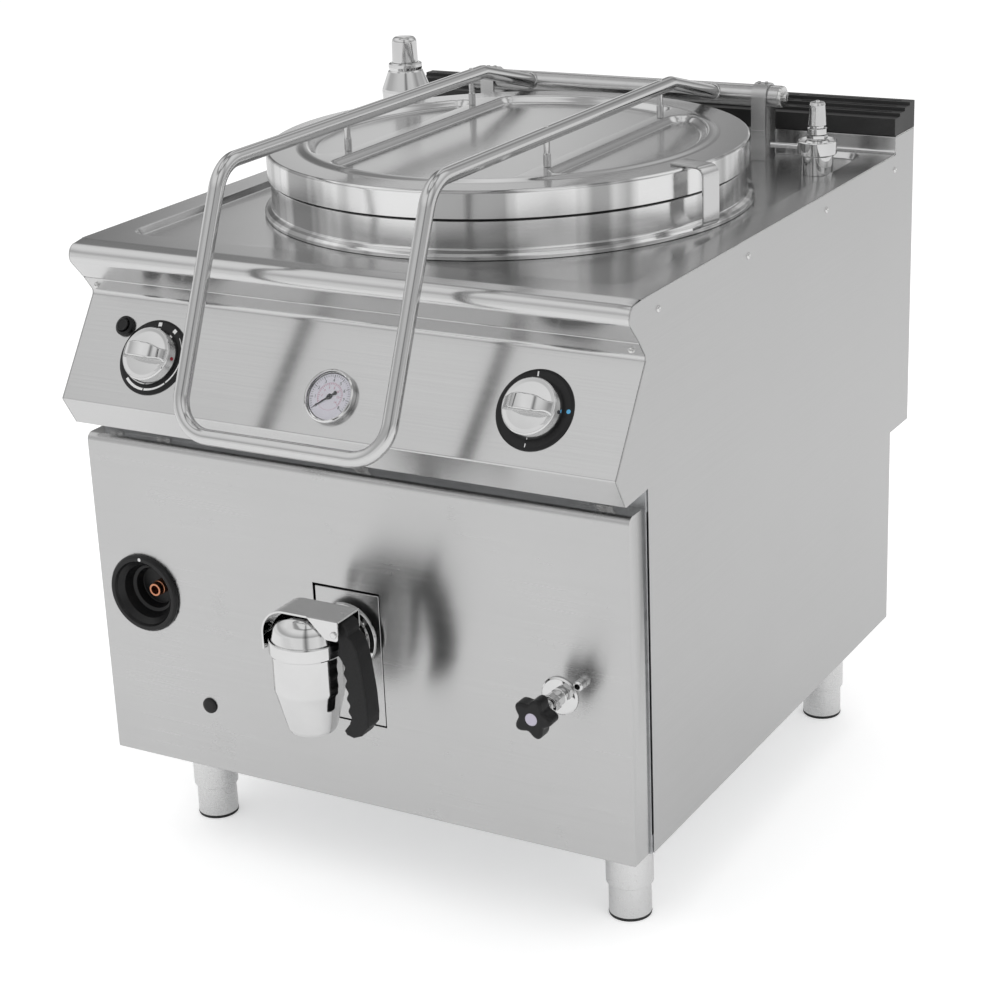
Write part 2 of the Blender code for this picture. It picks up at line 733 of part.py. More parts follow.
def make_side_panels():
    shared = front_corners()
    under_top = WORKTOP_HEIGHT - TOP_SHEET - CLEAR
    under_upstand = UPSTAND_HEIGHT - TOP_SHEET - CLEAR
    corners = [
        ((0, LEG_HEIGHT), 0),
        shared["underside"], shared["lip"], shared["panel_nose"], shared["neck"], shared["seam"],
        shared["nose_front"], shared["nose_top"],
        ((-FLAT_START_OUT, WORKTOP_HEIGHT - BULLNOSE_TOP_DROP / 2 + CLEAR), 0),
        ((-FLAT_START_OUT, under_top - CLEAR), 0),
        ((UPSTAND_DEPTH + TOP_SHEET + CLEAR, under_top), 0),
        ((UPSTAND_DEPTH + TOP_SHEET + CLEAR, under_upstand), 0),
        ((REAR_DEPTH, under_upstand), 0),
        ((REAR_DEPTH, REAR_STEP_HEIGHT), 0),
        ((LOWER_REAR_DEPTH, REAR_STEP_HEIGHT), 0),
        ((LOWER_REAR_DEPTH, LEG_HEIGHT), 0),
    ]
    outline = rounded(corners, closed=True)
    for name, left, right in (("side_panel_left", -WIDTH / 2, SHEET - WIDTH / 2),
                              ("side_panel_right", WIDTH / 2 - SHEET, WIDTH / 2)):
        part(name, plate_mesh(outline, left, right), SATIN, turn=ACROSS)


# Rounded rectangle that narrows towards its bottom, for the spill recess
def recess_mesh(half_width, front, rear, corner, bottom, top, slope):
    outline = rounded([((-half_width, front), corner), ((half_width, front), corner),
                       ((half_width, rear), corner), ((-half_width, rear), corner)], closed=True)
    mesh = plate_mesh(outline, bottom, top)
    middle = (front + rear) / 2
    for vertex in mesh.vertices:
        if vertex.co.z < (bottom + top) / 2:
            vertex.co.x *= (half_width - slope) / half_width
            vertex.co.y = middle + (vertex.co.y - middle) * (rear - middle - slope) / (rear - middle)
    return mesh


def make_worktop():
    shared = front_corners()
    corners = [
        ((REAR_DEPTH, UPSTAND_HEIGHT), 0),
        ((UPSTAND_DEPTH, UPSTAND_HEIGHT), UPSTAND_EDGE),
        ((UPSTAND_DEPTH, WORKTOP_HEIGHT), UPSTAND_COVE),
        shared["flat"], shared["nose_top"], shared["nose_front"],
        ((-SEAM_OUT, SEAM_HEIGHT + CLEAR / 2), 0),
        ((PANEL_FLANGE - SEAM_OUT, SEAM_HEIGHT + CLEAR / 2), 0),
    ]
    top = part("worktop", folded_mesh(rounded(corners), -WIDTH / 2, WIDTH / 2), BRIGHT)
    solidify(top, TOP_SHEET)
    low = SEAM_HEIGHT - OVERRUN
    high = WORKTOP_HEIGHT + OVERRUN
    for side in (-1, 1):
        edges = sorted((side * INNER_HALF_WIDTH, side * (WIDTH / 2 + OVERRUN)))
        cut(top, tool("bullnose_end", box_mesh((edges[0], -BULLNOSE_OUT - OVERRUN, low),
                                               (edges[1], CLEAR - FLAT_START_OUT, high))))
        cut(top, tool("flange_end", box_mesh((edges[0], -BULLNOSE_OUT - OVERRUN, low),
                                             (edges[1], PANEL_FLANGE, WORKTOP_HEIGHT - TOP_SHEET - CLEAR))))
    pan = recess_mesh(RECESS_HALF_WIDTH + TOP_SHEET, RECESS_FRONT - TOP_SHEET, RECESS_REAR + TOP_SHEET,
                      RECESS_CORNER + TOP_SHEET, FLOOR_OF_RECESS - TOP_SHEET, WORKTOP_HEIGHT - TOP_SHEET / 2,
                      RECESS_SLOPE)
    hollow = recess_mesh(RECESS_HALF_WIDTH, RECESS_FRONT, RECESS_REAR, RECESS_CORNER, FLOOR_OF_RECESS,
                         WORKTOP_HEIGHT + RECESS_DROP, RECESS_SLOPE * 2)
    join(top, tool("recess_pan", pan))
    cut(top, tool("recess_hollow", hollow))
    deep = FLOOR_OF_RECESS - OVERRUN
    cut(top, tool("kettle_hole", cylinder_mesh(KETTLE_HOLE_RADIUS, deep, high, BIG_STEPS),
                  place=(0, KETTLE_DEPTH, 0)))
    bore = JACKET_PIPE_RADIUS
    cut(top, tool("safety_hole", tube_hole_mesh(bore, deep, high), place=(-SAFETY_OFFSET, SAFETY_DEPTH, 0)))
    cut(top, tool("cock_hole", tube_hole_mesh(bore, deep, high), place=(COCK_OFFSET, COCK_DEPTH, 0)))
    cut(top, tool("flue_slot", box_mesh((-FLUE_HALF_WIDTH - CLEAR, FLUE_FRONT - CLEAR, WORKTOP_HEIGHT),
                                        (FLUE_HALF_WIDTH + CLEAR, FLUE_REAR + CLEAR, UPSTAND_HEIGHT + OVERRUN))))


def make_rear_panel():
    path = [(LOWER_REAR_DEPTH, LEG_HEIGHT), (LOWER_REAR_DEPTH, REAR_STEP_HEIGHT),
            (REAR_DEPTH, REAR_STEP_HEIGHT), (REAR_DEPTH, UPSTAND_HEIGHT - TOP_SHEET - CLEAR)]
    solidify(part("rear_panel", folded_mesh(path, -INNER_HALF_WIDTH, INNER_HALF_WIDTH), SATIN), SHEET)


# Empty on the sloping face of the control panel: its X runs across, its Y up the slope, its Z outwards
def on_panel(name, across, down):
    point = Vector((across, NECK_DEPTH, NECK_HEIGHT))
    point += Vector((0, -math.sin(PANEL_TILT), -math.cos(PANEL_TILT))) * down
    return empty(name, ROOT, point, (FACE_TILT, 0, 0))


def make_control_panel(seats):
    shared = front_corners()
    slope = (UNDERSIDE_HEIGHT - LIP_HEIGHT) / LIP_OUT
    corners = [
        ((PANEL_FLANGE - SEAM_OUT, SEAM_HEIGHT - CLEAR / 2), 0),
        ((-SEAM_OUT, SEAM_HEIGHT - CLEAR / 2), 0),
        shared["neck"], shared["panel_nose"], shared["lip"],
        ((PANEL_FLANGE, UNDERSIDE_HEIGHT + slope * PANEL_FLANGE), 0),
    ]
    sheet = folded_mesh(rounded(corners), -INNER_HALF_WIDTH, INNER_HALF_WIDTH)
    panel = solidify(part("control_panel", sheet, SATIN), SHEET)
    radii = {"dial_left_seat": SPINDLE_RADIUS, "dial_right_seat": SPINDLE_RADIUS,
             "igniter_seat": IGNITER_BODY_RADIUS, "gauge_seat": GAUGE_BODY_RADIUS}
    for seat in seats:
        hole = cylinder_mesh(radii[seat.name] + CLEAR, -OVERRUN, OVERRUN, MIDDLE_STEPS)
        cut(panel, tool(seat.name + "_hole", hole, parent=seat))


def panel_fitting_holes():
    return (("port_hole", PORT_OFFSET * -1, PORT_HEIGHT, PORT_MOUTH_RADIUS + PORT_WALL),
            ("plug_hole", PLUG_OFFSET * -1, PLUG_HEIGHT, PLUG_STEM_RADIUS),
            ("level_hole", LEVEL_OFFSET, LEVEL_HEIGHT, LEVEL_TAIL_RADIUS),
            ("nozzle_hole", NOZZLE_OFFSET, NOZZLE_HEIGHT, NOZZLE_TAIL_RADIUS))


def make_front_panel():
    shape = bmesh.new()
    size = (2 * FRONT_HALF_WIDTH, FRONT_OUT - FRONT_RETURN_OUT, FRONT_TOP_HEIGHT - LEG_HEIGHT)
    middle = (0, -(FRONT_OUT + FRONT_RETURN_OUT) / 2, (FRONT_TOP_HEIGHT + LEG_HEIGHT) / 2)
    bmesh.ops.create_cube(shape, size=1, matrix=Matrix.Translation(middle) @ Matrix.Diagonal((*size, 1)))
    back = [face for face in shape.faces if face.normal.y > 1 / 2]
    bmesh.ops.delete(shape, geom=back, context="FACES")
    front_edges = [edge for edge in shape.edges
                   if all(vertex.co.y < middle[1] for vertex in edge.verts)]
    top_edges = [edge for edge in front_edges if all(vertex.co.z > middle[2] for vertex in edge.verts)]
    rest = [edge for edge in shape.edges if edge not in top_edges and len(edge.link_faces) == 2]
    bmesh.ops.bevel(shape, geom=top_edges, offset=FRONT_TOP_RADIUS, segments=5, profile=1 / 2,
                    affect="EDGES")
    bmesh.ops.bevel(shape, geom=[edge for edge in rest if edge.is_valid], offset=FRONT_EDGE_RADIUS,
                    segments=2, profile=1 / 2, affect="EDGES")
    mesh = bpy.data.meshes.new("front_panel")
    shape.to_mesh(mesh)
    shape.free()
    pan = solidify(part("front_panel", mesh, SATIN), SHEET)
    for name, across, height, radius in panel_fitting_holes():
        hole = cylinder_mesh(radius + CLEAR, -OVERRUN, OVERRUN, MIDDLE_STEPS)
        cut(pan, tool(name, hole, place=(across, -FRONT_OUT, height), turn=FORWARD))
    cut(pan, tool("tap_window", box_mesh((-BACKPLATE_LEFT, -FRONT_OUT - OVERRUN, BACKPLATE_BOTTOM),
                                         (BACKPLATE_RIGHT, OVERRUN - FRONT_OUT, BACKPLATE_TOP))))


# Pressed tray behind the window in the front panel, which the drain tap passes through
def make_backplate():
    front = SHEET + CLEAR - FRONT_OUT
    low = (-BACKPLATE_LEFT, front, BACKPLATE_BOTTOM)
    high = (BACKPLATE_RIGHT, front + BACKPLATE_DEPTH, BACKPLATE_TOP)
    grow = Vector((SHEET, 0, SHEET))
    tray = part("drain_backplate", box_mesh(Vector(low) - grow, Vector(high) + grow + Vector((0, SHEET, 0))),
                BRIGHT)
    rim = Vector((BACKPLATE_FLANGE, 0, BACKPLATE_FLANGE))
    flange = box_mesh(Vector(low) - rim, Vector((high[0], front + SHEET, high[2])) + rim)
    join(tray, tool("tray_flange", flange))
    cut(tray, tool("tray_hollow", box_mesh((low[0], front - OVERRUN, low[2]), high)))
    cut(tray, tool("tap_hole", cylinder_mesh(TAP_BRANCH_RADIUS + CLEAR, -OVERRUN, OVERRUN, MIDDLE_STEPS),
                   place=(0, high[1], DRAIN_HEIGHT), turn=FORWARD))


def make_chassis():
    inner = INNER_HALF_WIDTH
    front = CLEAR - FRONT_RETURN_OUT
    rear = LOWER_REAR_DEPTH - SHEET - CLEAR
    shape = bmesh.new()
    low = Vector((-inner, front, LEG_HEIGHT))
    high = Vector((inner, rear, LEG_HEIGHT + TRAY_RISE))
    bmesh.ops.create_cube(shape, size=1, matrix=Matrix.Translation((low + high) / 2)
                          @ Matrix.Diagonal((*(high - low), 1)))
    bmesh.ops.delete(shape, geom=[face for face in shape.faces if face.normal.z > 1 / 2], context="FACES")
    mesh = bpy.data.meshes.new("base_frame")
    shape.to_mesh(mesh)
    shape.free()
    frame = solidify(part("base_frame", mesh, GALVANISED), SHEET)
    post_front = PANEL_FLANGE + SHEET + CLEAR
    top = WORKTOP_HEIGHT - TOP_SHEET - CLEAR
    bottom = LEG_HEIGHT + SHEET / 2
    rail_top = UNDERSIDE_HEIGHT - CLEAR + (LIP_HEIGHT - UNDERSIDE_HEIGHT) * FRONT_RETURN_OUT / LIP_OUT
    for side in (-1, 1):
        outer = side * inner
        for name, start, reach in (("front_post", post_front, 1), ("rear_post", rear, -1)):
            corner = [(outer, start), (outer - side * POST_WIDTH, start),
                      (outer - side * POST_WIDTH, start + reach * POST_SHEET),
                      (outer - side * POST_SHEET, start + reach * POST_SHEET),
                      (outer - side * POST_SHEET, start + reach * POST_WIDTH),
                      (outer, start + reach * POST_WIDTH)]
            join(frame, tool(name, plate_mesh(corner, bottom, top)))
        edges = sorted((outer, outer - side * POST_WIDTH))
        join(frame, tool("front_jamb", box_mesh((edges[0], front, bottom),
                                                (edges[1], front + POST_SHEET, rail_top - RAIL_HEIGHT / 2))))
    join(frame, tool("front_rail", box_mesh((-inner, front, rail_top - RAIL_HEIGHT),
                                            (inner, post_front + POST_SHEET, rail_top))))


def make_legs():
    top = LEG_HEIGHT - CLEAR
    roof = top - SLEEVE_CAP
    sleeve = [(0, top), (SLEEVE_RADIUS, top), (SLEEVE_RADIUS, SLEEVE_BOTTOM), (SLEEVE_BORE, SLEEVE_BOTTOM),
              (SLEEVE_BORE, roof), (0, roof)]
    stem_top = roof - CLEAR
    foot = [(0, stem_top), (FOOT_STEM_RADIUS, stem_top), (FOOT_STEM_RADIUS, FOOT_TOP),
            (FOOT_RADIUS, FOOT_TOP), (FOOT_RADIUS, FOOT_CHAMFER), (FOOT_RADIUS - FOOT_CHAMFER, 0), (0, 0)]
    for name, across, depth in (("front_left", -LEG_OFFSET, LEG_FRONT), ("front_right", LEG_OFFSET, LEG_FRONT),
                                ("rear_left", -LEG_OFFSET, LEG_REAR), ("rear_right", LEG_OFFSET, LEG_REAR)):
        turned("leg_sleeve_" + name, sleeve, SATIN, LEG_STEPS, place=(across, depth, 0))
        turned("leg_foot_" + name, foot, SATIN, LEG_STEPS, place=(across, depth, 0))


# Kettle, jacket and heating

def make_collar():
    floor = FLOOR_OF_RECESS + CLEAR
    foot_top = floor + COLLAR_FOOT_HEIGHT
    inner = COLLAR_RADIUS - COLLAR_WALL
    profile = [(inner, COLLAR_TOP), (COLLAR_RADIUS, COLLAR_TOP), (COLLAR_RADIUS, foot_top),
               (COLLAR_FOOT_RADIUS - COLLAR_FOOT_EDGE, foot_top),
               (COLLAR_FOOT_RADIUS, foot_top - COLLAR_FOOT_EDGE),
               (COLLAR_FOOT_RADIUS, floor), (inner, floor)]
    turned("kettle_collar", profile, BRIGHT, BIG_STEPS, place=(0, KETTLE_DEPTH, 0))


def cup_profile(radius, wall, bottom, knuckle, dish):
    outer = arc((radius - knuckle, bottom + knuckle), knuckle, 0, -math.pi / 2, KNUCKLE_STEPS) + [(0, bottom - dish)]
    inner = [(0, bottom + wall - dish)]
    inner += arc((radius - knuckle, bottom + knuckle), knuckle - wall, -math.pi / 2, 0, KNUCKLE_STEPS)
    return outer, inner


def make_vessel():
    outer, inner = cup_profile(VESSEL_RADIUS + VESSEL_WALL, VESSEL_WALL, VESSEL_BOTTOM, VESSEL_KNUCKLE,
                               VESSEL_DISH)
    flange = COLLAR_RADIUS - COLLAR_WALL - CLEAR
    profile = [(VESSEL_RADIUS, COLLAR_TOP), (flange, COLLAR_TOP), (flange, COLLAR_TOP - VESSEL_WALL),
               (VESSEL_RADIUS + VESSEL_WALL, COLLAR_TOP - VESSEL_WALL), *outer, *inner]
    ends = turned_open_cup("kettle_vessel", profile, BRIGHT)
    cut(ends, drain_cutter("vessel_drain_hole", VESSEL_BOTTOM))


# A cup profile starts at its rim and passes the axis once, so the loop closes at the rim
def turned_open_cup(name, profile, look):
    axis = [index for index, (radius, _) in enumerate(profile) if radius == 0]
    ordered = profile[axis[1]:] + profile[:axis[0] + 1]
    return turned(name, ordered, look, BIG_STEPS, place=(0, KETTLE_DEPTH, 0))


def drain_cutter(name, height):
    hole = tube_hole_mesh(DRAIN_RADIUS, height - VESSEL_KNUCKLE, height + VESSEL_KNUCKLE, MIDDLE_STEPS)
    return tool(name, hole, place=(0, DRAIN_BACK, 0))


def make_jacket():
    outer, inner = cup_profile(JACKET_RADIUS, VESSEL_WALL, JACKET_BOTTOM, JACKET_KNUCKLE, 0)
    lip = VESSEL_RADIUS + VESSEL_WALL + CLEAR
    profile = [(lip, JACKET_TOP), (JACKET_RADIUS, JACKET_TOP), *outer, *inner,
               (JACKET_RADIUS - VESSEL_WALL, JACKET_TOP - VESSEL_WALL), (lip, JACKET_TOP - VESSEL_WALL)]
    jacket = turned_open_cup("steam_jacket", profile, SATIN)
    cut(jacket, drain_cutter("jacket_drain_hole", JACKET_BOTTOM))


def make_drain_pipe():
    front = -TAP_TAIL_BACK + CLEAR
    route = rounded([((0, front, DRAIN_HEIGHT), 0), ((0, DRAIN_BACK, DRAIN_HEIGHT), DRAIN_BEND),
                     ((0, DRAIN_BACK, VESSEL_BOTTOM + VESSEL_WALL / 2), 0)])
    pipe = part("drain_pipe", tube_mesh(route, DRAIN_RADIUS, SMALL_STEPS), SATIN)
    join(pipe, tool("drain_flange", cylinder_mesh(DRAIN_FLANGE_RADIUS, -front - DRAIN_FLANGE, -front,
                                                  MIDDLE_STEPS), place=(0, 0, DRAIN_HEIGHT), turn=FORWARD))
    ahead = [Vector((0, front - OVERRUN, DRAIN_HEIGHT)), *route[1:-1],
             Vector((0, DRAIN_BACK, VESSEL_BOTTOM + OVERRUN))]
    cut(pipe, tool("drain_bore", tube_mesh(ahead, DRAIN_BORE, SMALL_STEPS)))


def make_burner():
    shape = bmesh.new()
    ring = bmesh.ops.create_circle(shape, segments=TUBE_SIDES, radius=BURNER_TUBE,
                                   matrix=Matrix.Translation((BURNER_RADIUS, 0, 0))
                                   @ Matrix.Rotation(math.pi / 2, 4, "X"))["verts"]
    edges = list({edge for vertex in ring for edge in vertex.link_edges})
    bmesh.ops.spin(shape, geom=edges, angle=math.tau, steps=MIDDLE_STEPS, axis=(0, 0, 1), cent=(0, 0, 0),
                   use_merge=True)
    mesh = finished(shape)
    shade_round(mesh)
    burner = part("burner", mesh, CAST, place=(0, KETTLE_DEPTH, BURNER_HEIGHT))
    bottom = LEG_HEIGHT + SHEET + CLEAR
    for step in range(4):
        turn = math.pi / 4 + step * math.pi / 2
        place = (BURNER_RADIUS * math.cos(turn), KETTLE_DEPTH + BURNER_RADIUS * math.sin(turn), 0)
        join(burner, tool("burner_leg", cylinder_mesh(BURNER_LEG_RADIUS, bottom, BURNER_HEIGHT), place=place))


# Combustion box round the foot of the jacket, with the flue duct rising to the grille
def make_flue():
    box = part("flue_box", box_mesh((-BOX_HALF_WIDTH, BOX_FRONT, BOX_BOTTOM), (BOX_HALF_WIDTH, BOX_REAR, BOX_TOP)),
               GALVANISED)
    rear = FLUE_REAR
    high = UPSTAND_HEIGHT - CLEAR
    duct = box_mesh((-FLUE_HALF_WIDTH, FLUE_FRONT, FLUE_DUCT_BOTTOM), (FLUE_HALF_WIDTH, rear, high))
    link = box_mesh((-FLUE_HALF_WIDTH, FLUE_DUCT_FRONT, FLUE_DUCT_BOTTOM), (FLUE_HALF_WIDTH, rear - SHEET / 2, BOX_TOP))
    join(box, tool("flue_duct", duct), tool("flue_link", link))
    inside = FLUE_HALF_WIDTH - SHEET
    cut(box,
        tool("box_hollow", box_mesh((SHEET - BOX_HALF_WIDTH, BOX_FRONT + SHEET, BOX_BOTTOM - OVERRUN),
                                    (BOX_HALF_WIDTH - SHEET, BOX_REAR - SHEET, BOX_TOP - SHEET))),
        tool("duct_hollow", box_mesh((-inside, FLUE_FRONT + SHEET, FLUE_DUCT_BOTTOM + SHEET),
                                     (inside, rear - SHEET, high + OVERRUN))),
        tool("link_hollow", box_mesh((-inside, FLUE_DUCT_FRONT, FLUE_DUCT_BOTTOM + SHEET),
                                     (inside, rear - SHEET, BOX_TOP - SHEET))),
        tool("jacket_hole", cylinder_mesh(JACKET_RADIUS + CLEAR, BOX_TOP - OVERRUN, BOX_TOP + OVERRUN, BIG_STEPS),
             place=(0, KETTLE_DEPTH, 0)),
        tool("pipe_hole", tube_hole_mesh(DRAIN_RADIUS, -OVERRUN, OVERRUN, MIDDLE_STEPS),
             place=(0, BOX_FRONT, DRAIN_HEIGHT), turn=FORWARD))


def make_grille():
    base = UPSTAND_HEIGHT + CLEAR
    step_depth = (REAR_DEPTH - GRILLE_FRONT) / GRILLE_STEPS
    step_rise = (GRILLE_HEIGHT - GRILLE_FIRST_RISE) / (GRILLE_STEPS - 1)
    outline = [(REAR_DEPTH, base), (GRILLE_FRONT, base)]
    for step in range(GRILLE_STEPS):
        height = base + GRILLE_FIRST_RISE + step * step_rise
        depth = GRILLE_FRONT + step * step_depth
        outline += [(depth, height), (depth + step_depth, height)]
    grille = part("flue_grille", plate_mesh(outline, -WIDTH / 2, WIDTH / 2), BLACK_ENAMEL, turn=ACROSS)
    inside = WIDTH / 2 - GRILLE_WALL
    hollow = box_mesh((-inside, GRILLE_FRONT + GRILLE_WALL, base - OVERRUN),
                      (inside, REAR_DEPTH - GRILLE_WALL, base + GRILLE_FIRST_RISE - GRILLE_WALL))
    cut(grille, tool("grille_hollow", hollow))
    pitch = (2 * inside - GRILLE_SLOT_GAP) / GRILLE_SLOT_COUNT
    for row in range(1, GRILLE_STEPS):
        depth = GRILLE_FRONT + row * step_depth + step_depth / 4
        for place in range(GRILLE_SLOT_COUNT):
            left = -inside + GRILLE_SLOT_GAP + place * pitch
            cut(grille, tool("grille_slot", box_mesh(
                (left, depth, base + GRILLE_WALL),
                (left + pitch - GRILLE_SLOT_GAP, depth + GRILLE_SLOT, base + GRILLE_HEIGHT + OVERRUN))))


# Controls

def make_dial(side, seat):
    ring = [(SPINDLE_RADIUS + CLEAR, DIAL_THICKNESS), (DIAL_RADIUS - DIAL_CHAMFER, DIAL_THICKNESS),
            (DIAL_RADIUS, DIAL_THICKNESS - DIAL_CHAMFER), (DIAL_RADIUS, CLEAR), (SPINDLE_RADIUS + CLEAR, CLEAR)]
    turned("dial_plate_" + side, ring, BLACK, MIDDLE_STEPS, parent=seat)
    pivot = empty("knob_pivot_" + side, seat, (0, 0, DIAL_THICKNESS + CLEAR))
    skirt = [(0, KNOB_DISH_HEIGHT), (KNOB_TOP_RADIUS, KNOB_SKIRT_HEIGHT + CLEAR), (KNOB_RADIUS, KNOB_SKIRT_HEIGHT / 2),
             (KNOB_RADIUS, 0), (0, 0)]
    knob = turned("knob_" + side, skirt, CHROME, MIDDLE_STEPS, parent=pivot)
    half = KNOB_GRIP_WIDTH / 2
    rise = KNOB_HEIGHT - KNOB_SKIRT_HEIGHT
    radius = (KNOB_TOP_RADIUS ** 2 + rise ** 2) / (2 * rise)
    start = math.asin(KNOB_TOP_RADIUS / radius)
    crown = arc((0, KNOB_HEIGHT - radius), radius, math.pi / 2 - start, math.pi / 2 + start, KNOB_GRIP_STEPS)
    low = KNOB_SKIRT_HEIGHT / 2
    outline = [(KNOB_TOP_RADIUS, low), *crown, (-KNOB_TOP_RADIUS, low)]
    grip = tool("knob_grip", plate_mesh(outline, -half, half), pivot, turn=FORWARD)
    bevel(grip, KNOB_GRIP_BEVEL, 1)
    join(knob, grip)
    bore = SPINDLE_LENGTH - DIAL_THICKNESS
    cut(knob, tool("knob_bore", cylinder_mesh(SPINDLE_RADIUS + CLEAR, -OVERRUN, bore), parent=pivot))


def make_valve(name, seat):
    back = -SHEET - CLEAR
    body = part(name, box_mesh((-VALVE_HALF_WIDTH, -VALVE_HALF_HEIGHT, back - VALVE_DEPTH),
                               (VALVE_HALF_WIDTH, VALVE_HALF_HEIGHT, back)), BRASS, parent=seat)
    bevel(body, DIAL_THICKNESS, 1)
    join(body, tool("valve_spindle", cylinder_mesh(SPINDLE_RADIUS, back - VALVE_DEPTH / 2, SPINDLE_LENGTH - CLEAR),
                    parent=seat),
         tool("valve_port", cylinder_mesh(VALVE_PORT_RADIUS, 0, VALVE_PORT_LENGTH), parent=seat,
              place=(0, -VALVE_PORT_LENGTH / 2, back - VALVE_DEPTH / 2), turn=FORWARD))


def make_igniter(seat):
    inner = IGNITER_BUTTON_RADIUS + CLEAR
    cup = [(0, -IGNITER_CUP_DEPTH), (inner, -IGNITER_CUP_DEPTH), (inner, IGNITER_RING_HEIGHT),
           (IGNITER_BODY_RADIUS, IGNITER_RING_HEIGHT), (IGNITER_RING_RADIUS, IGNITER_RING_EDGE),
           (IGNITER_RING_RADIUS, CLEAR), (IGNITER_BODY_RADIUS, CLEAR),
           (IGNITER_BODY_RADIUS, -IGNITER_CUP_DEPTH - IGNITER_FLOOR), (0, -IGNITER_CUP_DEPTH - IGNITER_FLOOR)]
    turned("igniter_bezel", cup, BLACK, SMALL_STEPS, parent=seat)
    bottom = IGNITER_TRAVEL + CLEAR - IGNITER_CUP_DEPTH
    edge = IGNITER_BUTTON_RADIUS - DIAL_CHAMFER
    button = [(0, IGNITER_BUTTON_HEIGHT), (edge, IGNITER_BUTTON_HEIGHT),
              (IGNITER_BUTTON_RADIUS, IGNITER_BUTTON_HEIGHT - DIAL_CHAMFER),
              (IGNITER_BUTTON_RADIUS, bottom), (0, bottom)]
    turned("igniter_button", button, BLACK, SMALL_STEPS, parent=seat)


def make_gauge(seat):
    rim = GAUGE_RADIUS - GAUGE_RIM_EDGE
    case = [(0, GAUGE_FACE_HEIGHT), (GAUGE_WINDOW_RADIUS, GAUGE_FACE_HEIGHT),
            (GAUGE_WINDOW_RADIUS, GAUGE_RIM_HEIGHT), (rim, GAUGE_RIM_HEIGHT),
            (GAUGE_RADIUS, GAUGE_RIM_HEIGHT - GAUGE_RIM_EDGE), (GAUGE_RADIUS, CLEAR),
            (GAUGE_BODY_RADIUS, CLEAR), (GAUGE_BODY_RADIUS, -GAUGE_BODY_DEPTH), (0, -GAUGE_BODY_DEPTH)]
    turned("gauge_case", case, WHITE, parent=seat)
    top = GAUGE_RIM_HEIGHT - CLEAR
    pane = cylinder_mesh(GAUGE_WINDOW_RADIUS - CLEAR, top - GLASS_THICKNESS, top, MIDDLE_STEPS)
    part("gauge_glass", pane, CLEAR_GLASS, parent=seat)
    low = GAUGE_FACE_HEIGHT + CLEAR
    hub = arc((0, 0), NEEDLE_HUB_RADIUS, math.radians(110), math.radians(250), 6)
    tail = [(-NEEDLE_HALF_WIDTH, -NEEDLE_TAIL), (NEEDLE_HALF_WIDTH, -NEEDLE_TAIL)]
    other = arc((0, 0), NEEDLE_HUB_RADIUS, math.radians(-70), math.radians(70), 6)
    tip = [(NEEDLE_HALF_WIDTH / 2, NEEDLE_LENGTH), (-NEEDLE_HALF_WIDTH / 2, NEEDLE_LENGTH)]
    outline = hub + tail + other + tip
    part("gauge_needle", plate_mesh(outline, low, low + NEEDLE_THICKNESS), BLACK, parent=seat,
         turn=(0, 0, NEEDLE_REST))


# Fittings on the front panel: local Z points forward, out of the panel

def make_pilot_port():
    place = (-PORT_OFFSET, -FRONT_OUT, PORT_HEIGHT)
    body = PORT_MOUTH_RADIUS + PORT_WALL
    cone = PORT_THROAT_RADIUS
    depth = PORT_THROAT_DEPTH
    profile = [(0, -depth), (cone, -depth), (PORT_MOUTH_RADIUS, PORT_RIM_HEIGHT - PORT_RIM_EDGE),
               (body, PORT_RIM_HEIGHT),
               (PORT_RADIUS - PORT_RIM_EDGE, PORT_RIM_HEIGHT), (PORT_RADIUS, PORT_RIM_HEIGHT - PORT_RIM_EDGE),
               (PORT_RADIUS, CLEAR), (body, CLEAR), (body, -SHEET - PORT_WALL), (cone + PORT_WALL, -depth - PORT_WALL),
               (0, -depth - PORT_WALL)]
    bezel = turned("pilot_port_bezel", profile, BLACK, place=place, turn=FORWARD)
    shift = (place[0] + PORT_TUBE_SHIFT, place[1], place[2])
    cut(bezel, tool("port_tube_hole", cylinder_mesh(PORT_TUBE_RADIUS + CLEAR, -depth - OVERRUN, OVERRUN - depth),
                    place=shift, turn=FORWARD))
    front = PORT_TUBE_FRONT - depth
    tube = [(PORT_TUBE_BORE, front), (PORT_TUBE_RADIUS, front), (PORT_TUBE_RADIUS, front - PORT_TUBE_LENGTH),
            (PORT_TUBE_BORE, front - PORT_TUBE_LENGTH)]
    turned("pilot_port_tube", tube, COPPER, SMALL_STEPS, place=shift, turn=FORWARD)


def make_hole_plug():
    profile = [(0, PLUG_HEAD), (PLUG_RADIUS - DIAL_CHAMFER, PLUG_HEAD), (PLUG_RADIUS, PLUG_HEAD - DIAL_CHAMFER),
               (PLUG_RADIUS, CLEAR), (PLUG_STEM_RADIUS, CLEAR), (PLUG_STEM_RADIUS, -PLUG_STEM_LENGTH),
               (0, -PLUG_STEM_LENGTH)]
    turned("hole_plug", profile, BLACK, SMALL_STEPS, place=(-PLUG_OFFSET, -FRONT_OUT, PLUG_HEIGHT), turn=FORWARD)


